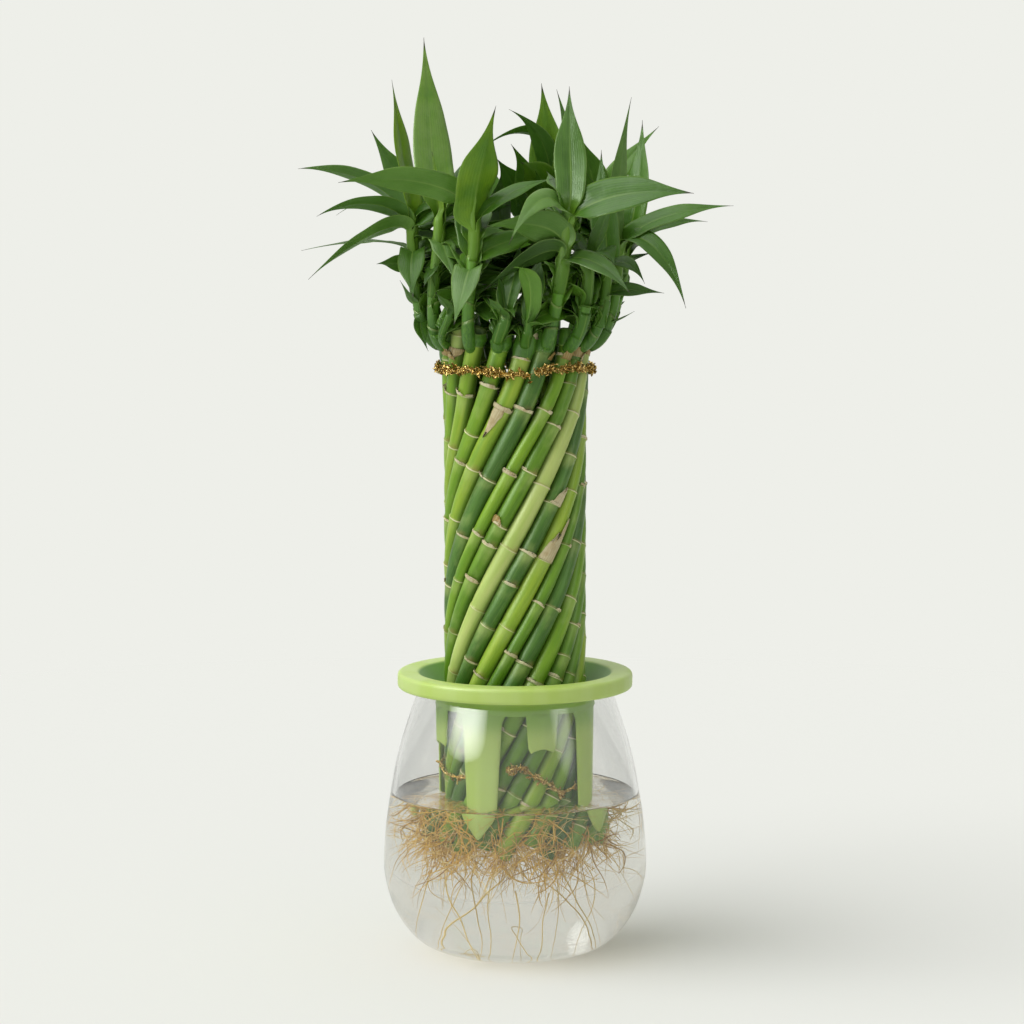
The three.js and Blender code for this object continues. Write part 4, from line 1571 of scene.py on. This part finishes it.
    def leaf_line(self, leaf: Leaf, t: Array) -> Array:
        """The line that a leaf's midrib follows from the stem to its tip.

        Args:
            leaf: its place and bend.
            t: how far along, from 0 to 1.

        Returns:
            The points there: first along the stem, then out to the tip.
        """
        base, tip = self.spot(leaf.place), np.array([leaf.x, leaf.y, leaf.z], dtype=float)
        chord = tip - base
        bend = base + self.bend_at * chord + np.array([2 * leaf.bow, 0, 2 * leaf.rise])
        stem_way = unit(self.spot(min(leaf.place + 0.02, 1.0)) - self.spot(leaf.place - 0.03))
        start = (bend - base) * 2 / 3
        reach = max(0.8 * float(np.linalg.norm(start)), min(12.0, 0.24 * float(np.linalg.norm(chord))))
        leave = unit(0.35 * unit(start) + stem_way) * reach
        return bezier([base, base + leave, tip + (bend - tip) * 2 / 3, tip], t)

    def leaf_ways(self, leaf: Leaf, line: Array, t: Array, chord: Array) -> tuple[Array, Array]:
        """Directions to a leaf's side and above it, level at its foot and rolled further out.

        Args:
            leaf: its roll.
            line: the points of its midrib.
            t: how far along the blade each of them is.
            chord: the straight way from its foot to its tip.

        Returns:
            Unit vectors to the side and above, one of each for every point.
        """
        along = unit(np.gradient(line, axis=0))
        level = unit(np.array([chord[1], -chord[0], 0.0]))
        roll = np.radians(leaf.roll * ease(0.0, 0.35, t) + self.rng.uniform(-14, 14) * t)[:, None]
        side = level * np.cos(roll) + np.cross(along, level) * np.sin(roll) \
            + along * (along @ level)[:, None] * (1 - np.cos(roll))
        side = unit(side - along * np.sum(along * side, axis=1, keepdims=True))
        return side, np.cross(side, along)

    def section(self, half: Array, t: Array, across: Array) -> tuple[Array, Array]:
        """A blade's rows before they clasp the stem: folded at the midrib, curled and a little wavy.

        Args:
            half: half of the blade's width at each row.
            t: how far along each row is.
            across: the places of a row's points, from -1 to 1.

        Returns:
            How far each point is to the side of the midrib's line, and how far above it.
        """
        rng, opened = self.rng, ease(0.12, 0.42, t)
        fold = np.radians(np.interp(t, [0, 0.12, 0.25, 0.6, 1], [50, 30, 18, 9, 16])
                          + rng.uniform(-4, 6))[:, None]
        curl = rng.uniform(0.04, 0.20)
        wave = rng.uniform(0.04, 0.14) * np.sin(2 * math.pi * (rng.uniform(1.0, 2.2) * t
                                                               + rng.uniform(0, 1)))
        lift = half[:, None] * (np.abs(across) * np.sin(fold)
                                - (curl * opened)[:, None] * across**2
                                + (wave * opened)[:, None] * across**2 * np.sign(across))
        crease = 0.18 * bell(across, 0.10) * (half / half.max())[:, None]
        return half[:, None] * across * np.cos(fold), lift - crease

    def blade(self, skin: Skin, leaf: Leaf, rows: int = 34, columns: int = 13,
              sheathed: bool = True) -> None:
        """Adds a leaf: a sheath that clasps the stem, opening into the blade.

        Args:
            skin: where the leaf goes.
            leaf: its place and bend.
            rows: how many rows of points the blade has.
            columns: how many points a row has on each face.
            sheathed: whether the sheath is made too.
        """
        low = np.linspace(0, 1, 8)[:-1] if sheathed else np.zeros(0)
        t = np.concatenate([np.linspace(0, 0.9, rows - 6), np.linspace(0.92, 1, 6)])
        down = min(self.sheath_length, 0.8 * leaf.place * self.length) / self.length
        line = np.concatenate([self.spot(leaf.place - down * (1 - low)), self.leaf_line(leaf, t)])
        on_stem = np.concatenate([leaf.place - down * (1 - low), np.full(rows, leaf.place)])
        t, low = np.concatenate([0 * low, t]), np.concatenate([low, np.ones(rows)])
        chord = line[-1] - self.spot(leaf.place)
        length = float(np.linalg.norm(chord))
        side, above = self.leaf_ways(leaf, line, t, chord)
        sway = self.rng.uniform(-0.012, 0.012) * length * np.sin(2 * math.pi * t)
        wrap = (self.stem_radius(on_stem) + 0.12 + (0.25 + 0.35 * (1 - leaf.place)) * low)[:, None]
        line = line + side * sway[:, None] - above * wrap * (1 - ease(0.0, 0.24, t))[:, None]
        half, across = self.half_width(leaf, t), np.linspace(-1, 1, columns)
        lateral, lift = self.section(half, t, across)
        round_stem = across * np.radians(112 - 30 * low)[:, None]
        clasped = (1 - ease(0.0, 0.16, t))[:, None]
        lateral = lateral + (wrap * np.sin(round_stem) - lateral) * clasped
        lift = lift + (wrap * (1 - np.cos(round_stem)) - lift) * clasped
        normal = side[:, None] * (-np.sin(round_stem) * clasped)[..., None] \
            + above[:, None] * (1 + (np.cos(round_stem) - 1) * clasped)[..., None]
        upper = line[:, None] + side[:, None] * lateral[..., None] + above[:, None] * lift[..., None]
        thick = self.blade_thickness * (0.35 + 0.65 * (1 - across**2)) \
            + 0.30 * bell(across, 0.09) * (1 - t)[:, None] * (1 - clasped)
        thick = thick * (0.35 + 0.65 * np.minimum(1, half / half.max() * 1.5))[:, None]
        lower = upper - unit(normal) * thick[..., None]
        chance = float(np.clip(self.rng.normal(0.36, 0.22), 0.0, 1.0))
        sides = np.concatenate([across, across[::-1]])
        flat = half[:, None] * sides
        grain = np.stack([flat + 50 * leaf.place, 0 * flat + leaf.x,
                          (t * length)[:, None] + 0 * flat], axis=-1)
        skin.grid(np.concatenate([upper, lower[:, ::-1]], axis=1), across=sides, along=t[:, None],
                  tone=leaf.tone if leaf.tone >= 0 else chance, silver=leaf.silver,
                  upper=np.repeat([1.0, 0.0], columns), sheath=(1 - ease(0.04, 0.26, t))[:, None],
                  stem=self.climb(line)[:, None], grain=grain)

    def inner_leaves(self) -> list[Leaf]:
        """The dark leaves that fill the middle of the plant, more of them at its back.

        Returns:
            The leaves, whose places are left to chance.
        """
        made = []
        for number in range(12 if self.plan.top[1] > 0 else 9):
            place = self.rng.uniform(0.26, 0.5) if number % 2 else self.rng.uniform(0.45, 0.9)
            base = self.spot(place)
            aim = np.array([self.rng.uniform(-32, 40), self.rng.uniform(-14, 30), 0.0])
            way = unit(aim - base * (1, 1, 0)) + 0.3 * outward(self.rng.uniform(0, 360))
            reach = self.rng.uniform(20, 38)
            tip = base + way * reach + UP * self.rng.uniform(-3, 22)
            made.append(Leaf(place, *tip.tolist(), self.rng.uniform(1, 6), 0.0,
                             self.rng.uniform(11, 17), self.rng.uniform(-60, 60),
                             self.rng.uniform(0.2, 0.75)))
        return made

    def build(self, stem_skin: bpy.types.Material, leaf_skin: bpy.types.Material) -> None:
        """Makes the stem and the leaves.

        Args:
            stem_skin: the stem's finish.
            leaf_skin: the leaves' finish.
        """
        name = f"{self.cane.index + 1:02d}"
        self.stem().fit(f"stem_{name}", stem_skin, "leaf", f"shoot_{name}")
        skin = Skin()
        for leaf in self.plan.leaves:
            self.blade(skin, leaf.lowered())
        for leaf in self.inner_leaves():
            self.blade(skin, leaf, rows=18, columns=7, sheathed=False)
        skin.fit(f"leaves_{name}", leaf_skin, "leaf", f"shoot_{name}")


# ---------------------------------------------------------------- ties


@dataclass
class TinselTie:
    """A tie of gold tinsel: twisted wires set with short crinkled slips of foil."""

    name: str
    node: str
    radius: float
    knots: Knots                # bearings, and the heights there
    slips: int
    spread: float
    bare: float = 0.0           # the share of the way round that has few slips
    finish: GoldTinsel = GoldTinsel()
    seed: int = 5
    wire_radius: float = 0.42
    wire_offset: float = 0.45       # how far the two wires are from the line that they wind round
    wire_twists: int = 28           # in one full round of the column

    def path(self, bearing: Array) -> Array:
        """The wire's line at some bearings: it dips between the canes and wanders up and down.

        Args:
            bearing: the bearings.

        Returns:
            A point for each of them.
        """
        dip = 0.5 * np.cos(np.radians(bearing * 20 + 40))
        height = np.interp(bearing, *zip(*self.knots)) + 0.4 * np.sin(np.radians(bearing * 17))
        return outward(bearing) * (self.radius + dip)[:, None] + height[:, None] * UP

    def slip(self, rng: Draws, bearing: float) -> Array:
        """One crinkled slip of foil near a bearing, as rows of four points.

        Args:
            rng: where its shape comes from.
            bearing: where on the tie it is.

        Returns:
            Its rows of points.
        """
        middle, out = self.path(np.array([bearing]))[0], outward(bearing)
        way = unit(rng.normal(0, 1, 3) + 0.4 * out + 1.1 * np.cross(UP, out) * rng.choice((-1, 1)))
        across = unit(np.cross(way, rng.normal(0, 1, 3)))
        length, width = rng.uniform(2.0, 4.4), rng.uniform(0.8, 1.5)
        t = np.linspace(-0.5, 0.5, 7)
        curl = np.cross(way, across)
        line = middle + out * rng.uniform(-0.6, 1.1) + UP * rng.normal(0, self.spread) \
            + way * (t * length)[:, None] + curl * (rng.uniform(-1.6, 1.6) * t**2)[:, None] * 2
        twist = rng.uniform(-2.2, 2.2) * t
        edge = across * np.cos(twist)[:, None] + curl * np.sin(twist)[:, None]
        face = unit(np.cross(np.gradient(line, axis=0), edge))
        half = width / 2 * (1 - 0.5 * np.abs(t * 2) ** 3)
        return np.stack([line + edge * half[:, None], line + face * 0.05,
                         line - edge * half[:, None], line - face * 0.05], axis=1)

    def build(self) -> None:
        """Makes the wires and the slips."""
        rng = np.random.default_rng(self.seed)
        skin = Skin()
        first, last = self.knots[0][0], self.knots[-1][0]
        bearing = np.linspace(first, last, 420)
        core = self.path(bearing)
        _, one, two = side_by_side(core)
        for phase in (0.0, math.pi):
            turn = (np.radians(bearing) * self.wire_twists + phase)[:, None]
            wire = core + self.wire_offset * (one * np.cos(turn) + two * np.sin(turn))
            skin.grid(tube(wire, np.full(len(wire), self.wire_radius), 8))
        clumps = wander(rng, 361, 14)
        bare_from = first + (last - first) * (1 - self.bare)
        placed = 0
        while placed < self.slips:
            place = rng.uniform(first, last)
            full = 0.62 + 0.38 * np.interp(place, np.linspace(first, last, 361), clumps)
            if rng.random() < full and (place < bare_from or rng.random() < 0.12):
                skin.grid(self.slip(rng, place))
                placed += 1
        skin.fit(self.name, self.finish.material(), "gold_tinsel", self.node)


# ---------------------------------------------------------------- roots


@dataclass
class Roots:
    """The roots in the water: bundles from each cane's foot, fine strands, and long pale ones."""

    vase: Vase
    canes: list[Cane]
    floor: float = 6.0
    ceiling: float = 77.0
    seed: int = 12
    step: float = 2.2               # the length of each straight bit of a root
    bundle: float = 19.0            # roots at a cane's foot
    left_more: float = 8.0          # how many more there are at the left, and fewer at the right
    fine_front: int = 13            # fine strands at a foot that can be seen
    fine_hidden: int = 6
    long_count: int = 12
    rng: Draws = field(init=False)
    bundles: Skin = field(default_factory=Skin)
    strands: Skin = field(default_factory=Skin)

    def __post_init__(self) -> None:
        """Seeds the random numbers."""
        self.rng = np.random.default_rng(self.seed)

    def strand(self, start: Array, way: Array, length: float, restless: float,
               weight: float) -> Array:
        """The line of one root, kept inside the vase.

        Args:
            start: where it begins.
            way: the direction in which it sets out.
            length: its length.
            restless: how much it turns.
            weight: how much it sinks.

        Returns:
            The points of its line.
        """
        count = max(5, int(length / self.step))
        points, spin = [start], self.rng.normal(0, restless, 3)
        for _ in range(count):
            here = points[-1]
            spin = 0.86 * spin + self.rng.normal(0, restless * 0.5, 3)
            out = np.array([here[0], here[1], 0.0])
            reach = float(np.linalg.norm(out))
            room = float(self.vase.inner_radius(here[2])) - 2.0 - reach
            inwards = -out / max(reach, 1e-6) * (0.9 if room < 3 else 0.0)
            lift = UP * (0.6 if here[2] < self.floor + 4 else 0.0)
            way = unit(way + spin + inwards + lift - UP * weight)
            points.append(here + way * self.step)
            if len(points) > 5 and points[-1][2] < self.floor + 1.5:
                break
        line = np.array(points)
        line[:, 2] = np.clip(line[:, 2], self.floor, self.ceiling)
        reach = np.linalg.norm(line[:, :2], axis=1)
        most = self.vase.inner_radius(line[:, 2]) - 1.0
        line[:, :2] *= np.minimum(1, most / np.maximum(reach, 1e-6))[:, None]
        return line

    def add(self, skin: Skin, line: Array, radius: float, age: float, sides: int = 5) -> None:
        """Adds a root round its line, thinning to its tip."""
        share = np.linspace(0, 1, len(line))
        skin.grid(tube(line, radius * (1 - 0.75 * share**1.5), sides), age=age)

    def foot_roots(self, cane: Cane) -> None:
        """Adds the bundle and the fine strands of one cane's foot: more at the left, fewer behind.

        Args:
            cane: the cane.
        """
        rng, bearing = self.rng, math.radians(float(cane.bearing(cane.low)))
        left, hidden = math.cos(bearing + math.radians(75)), math.cos(bearing) < -0.2
        for _ in range(int(round((self.bundle + self.left_more * left) * (0.6 if hidden else 1.0)))):
            height = cane.low + rng.uniform(0, 14 + 8 * max(left, 0))
            start = cane.spot(height, rng.uniform(-1.8, 1.8), 3.4)
            out = outward(float(cane.bearing(height)) + rng.normal(0, 35))
            way = unit(out * rng.uniform(-0.9, 0.4 + 0.25 * left) - UP * rng.uniform(0.0, 1.0)
                       + rng.normal(0, 0.5, 3))
            line = self.strand(start, way, rng.uniform(14, 38), 0.14, 0.035)
            self.add(self.bundles, line, rng.uniform(0.22, 0.48), rng.uniform(0.2, 1.0), 6)
            for _ in range(rng.integers(2, 6)):
                at = int(rng.integers(2, max(3, len(line) - 3)))
                branch = self.strand(line[at], unit(rng.normal(0, 1, 3) - 0.3 * UP),
                                     rng.uniform(8, 26), 0.16, 0.05)
                self.add(self.strands, branch, rng.uniform(0.12, 0.22), rng.uniform(0.0, 0.8))
        for _ in range(self.fine_hidden if hidden else self.fine_front):
            height = cane.low + rng.uniform(-1, 12)
            start = cane.spot(height, rng.uniform(0, 6.28), 3.2)
            way = unit(outward(float(rng.uniform(0, 360))) * 0.5 + rng.normal(0, 0.5, 3) - 0.6 * UP)
            line = self.strand(start, way, rng.uniform(18, 46), 0.16, 0.035)
            self.add(self.strands, line, rng.uniform(0.11, 0.22), rng.uniform(0.0, 0.7))

    def long_roots(self) -> None:
        """Adds the long pale roots that hang down in the middle."""
        rng = self.rng
        for turn in np.linspace(0, 360, self.long_count, endpoint=False):
            start = outward(turn) * rng.uniform(12, 34) + UP * rng.uniform(34, 52)
            way = unit(outward(turn + rng.normal(0, 40)) * 0.5 - UP)
            line = self.strand(start, way, rng.uniform(60, 115), 0.09, 0.07)
            self.add(self.strands, line, rng.uniform(0.20, 0.34), rng.uniform(0.0, 0.25))

    def build(self) -> None:
        """Makes the bundles, the strands and the long ones."""
        for cane in self.canes:
            self.foot_roots(cane)
        self.long_roots()
        fibre = RootFibre().material()
        self.bundles.fit("root_bundles", fibre, "root", "roots")
        self.strands.fit("root_strands", fibre, "root", "roots")


# ---------------------------------------------------------------- studio


@dataclass
class Studio:
    """The plain pale floor, the soft lights and the camera."""

    backdrop: Colour = (0.855, 0.863, 0.815)
    soft_light: float = 0.70
    one_sided: float = 0.55
    key_light: float = 1.85
    key_bearing: float = -68.0
    key_elevation: float = 58.0
    key_softness: float = 50.0
    camera_place: Point = (-1.5, -1500.0, 378.0)
    camera_pitch: float = 6.0
    lens: float = 107.3
    card_layers: tuple[float, ...] = (1.0, 0.92, 0.83, 0.74, 0.64, 0.54)
    card_distance: float = 1.6      # in metres, as are the cards' sizes and the floor's
    floor_radius: float = 1.4
    floor_corners: int = 64
    sensor: float = 36.0

    def world(self) -> None:
        """The backdrop all round, softer where it lights a matte surface, and most from the left."""
        world = bpy.data.worlds.new("studio")
        bpy.context.scene.world = world
        nodes = Nodes(world, "ShaderNodeOutputWorld")
        weak, strong = self.soft_light * (1 - self.one_sided), self.soft_light * (1 + self.one_sided)
        way = nodes.node("ShaderNodeTexCoord", {}, {})["Generated"]
        across = nodes.node("ShaderNodeSeparateXYZ", {}, {0: way})["X"]
        side = nodes.node("ShaderNodeMapRange", {}, {0: across, 1: 1.0, 2: -1.0, 3: weak, 4: strong})[0]
        diffuse = nodes.node("ShaderNodeLightPath", {}, {})["Is Diffuse Ray"]
        level = nodes.node("ShaderNodeMapRange", {}, {0: diffuse, 3: 1.0, 4: side})[0]
        background = nodes.node("ShaderNodeBackground", {}, {"Color": self.backdrop, "Strength": level})
        nodes.finished(background[0])
        world.cycles.sampling_method = "NONE"

    def key(self) -> None:
        """The key light, from the upper left and a little in front."""
        lamp = bpy.data.lights.new("key", "SUN")
        lamp.energy, lamp.angle = self.key_light, math.radians(self.key_softness)
        made = bpy.data.objects.new("key", lamp)
        turn = math.radians(self.key_bearing)
        made.rotation_euler = (math.radians(90 - self.key_elevation), 0, turn)
        bpy.context.collection.objects.link(made)

    def card(self, name: str, bearing: float, elevation: float, size: tuple[float, float],
             brightness: float) -> None:
        """A soft box that only shows as a reflection, bright in the middle and fading to its edge.

        Args:
            name: its name.
            bearing: where it stands.
            elevation: how high, in degrees.
            size: its width and height in metres.
            brightness: how bright its middle looks beside the backdrop.
        """
        up = math.radians(elevation)
        place = outward(bearing) * math.cos(up) + UP * math.sin(up)
        for layer, share in enumerate(self.card_layers):
            lamp = bpy.data.lights.new(f"{name}_{layer}", "AREA")
            lamp.shape, lamp.size, lamp.size_y = "ELLIPSE", size[0] * share, size[1] * share
            area = lamp.size * lamp.size_y * math.pi / 4
            lamp.energy = brightness / len(self.card_layers) * area * math.pi
            made = bpy.data.objects.new(f"{name}_{layer}", lamp)
            made.location = place * (self.card_distance - 0.002 * layer) + UP * 0.1
            made.rotation_euler = (math.radians(90 - elevation), 0, math.radians(bearing))
            made.visible_diffuse = made.visible_transmission = made.visible_camera = False
            bpy.context.collection.objects.link(made)

    def floor(self) -> None:
        """A disc of paper whose brightness in this light is the backdrop's."""
        direct = self.key_light * math.sin(math.radians(self.key_elevation)) / math.pi
        paper = tuple(part / (self.soft_light * part + direct) for part in self.backdrop)
        mesh = bpy.data.meshes.new("floor")
        ways = outward(np.linspace(0, 360, self.floor_corners, endpoint=False))
        ring = ways * self.floor_radius - UP * 0.0001
        mesh.from_pydata(ring.tolist(), [], [list(range(self.floor_corners))])
        mesh.materials.append(StudioPaper(paper).material())
        made = bpy.data.objects.new("floor", mesh)
        bpy.context.collection.objects.link(made)

    def camera(self) -> None:
        """The camera, where the photograph was taken from."""
        data = bpy.data.cameras.new("camera")
        data.lens, data.sensor_width = self.lens, self.sensor
        made = bpy.data.objects.new("camera", data)
        made.location = np.array(self.camera_place) * MM
        made.rotation_euler = (math.radians(90 - self.camera_pitch), 0, 0)
        bpy.context.collection.objects.link(made)
        bpy.context.scene.camera = made

    def build(self) -> None:
        """Sets up the studio and plain colours."""
        scene = bpy.context.scene
        scene.view_settings.view_transform = "Standard"
        scene.cycles.max_bounces = scene.cycles.transmission_bounces = 24
        scene.cycles.transparent_max_bounces = 32
        self.world()
        self.key()
        self.card("left_box", -60, 28, (1.50, 0.70), 15.5)
        self.card("right_box", 54, 26, (0.66, 0.86), 4.2)
        self.floor()
        self.camera()


# ---------------------------------------------------------------- the whole object


TOP_TIE_LINE = ((14.0, 292.0), (24.0, 292.6), (48.0, 293.4), (89.0, 291.0), (180.0, 291.5),
                (271.0, 291.8), (334.0, 291.8), (353.0, 291.0), (366.0, 290.2), (371.0, 289.8))
LOWER_TIE_LINE = ((-6.0, 98.0), (6.0, 98.5), (19.0, 93.0), (40.0, 84.5), (90.0, 92.0), (180.0, 97.0),
                  (270.0, 95.0), (300.0, 91.5), (340.0, 94.0))

# a brighter copy of the gold tinsel: painted light for the lower tie, which sits in the basket's shadow
BRIGHTENED_TINSEL = GoldTinsel((1.0, 0.80, 0.34), (0.52, 0.31, 0.05), "brightened_tinsel")


def main() -> None:
    """Builds every piece around the frame."""
    logging.basicConfig(level=logging.INFO, format="%(message)s")
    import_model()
    vase, column = Vase(), Column()
    Studio().build()
    vase.build()
    Water(vase).build()
    Basket().build()
    column.build()
    stem_skin, leaf_skin = StemSkin().material(), LeafSkin().material()
    for cane, plan in zip(column.canes, SHOOTS):
        Shoot(cane, plan).build(stem_skin, leaf_skin)
    TinselTie("top_tinsel", "top_tie", 38.0, TOP_TIE_LINE, 1100, 1.0).build()
    TinselTie("lower_tinsel", "lower_tie", 36.3, LOWER_TIE_LINE, 210, 0.9, 0.86, BRIGHTENED_TINSEL,
              seed=8).build()
    Roots(vase, column.canes).build()


if __name__ == "__main__":
    main()
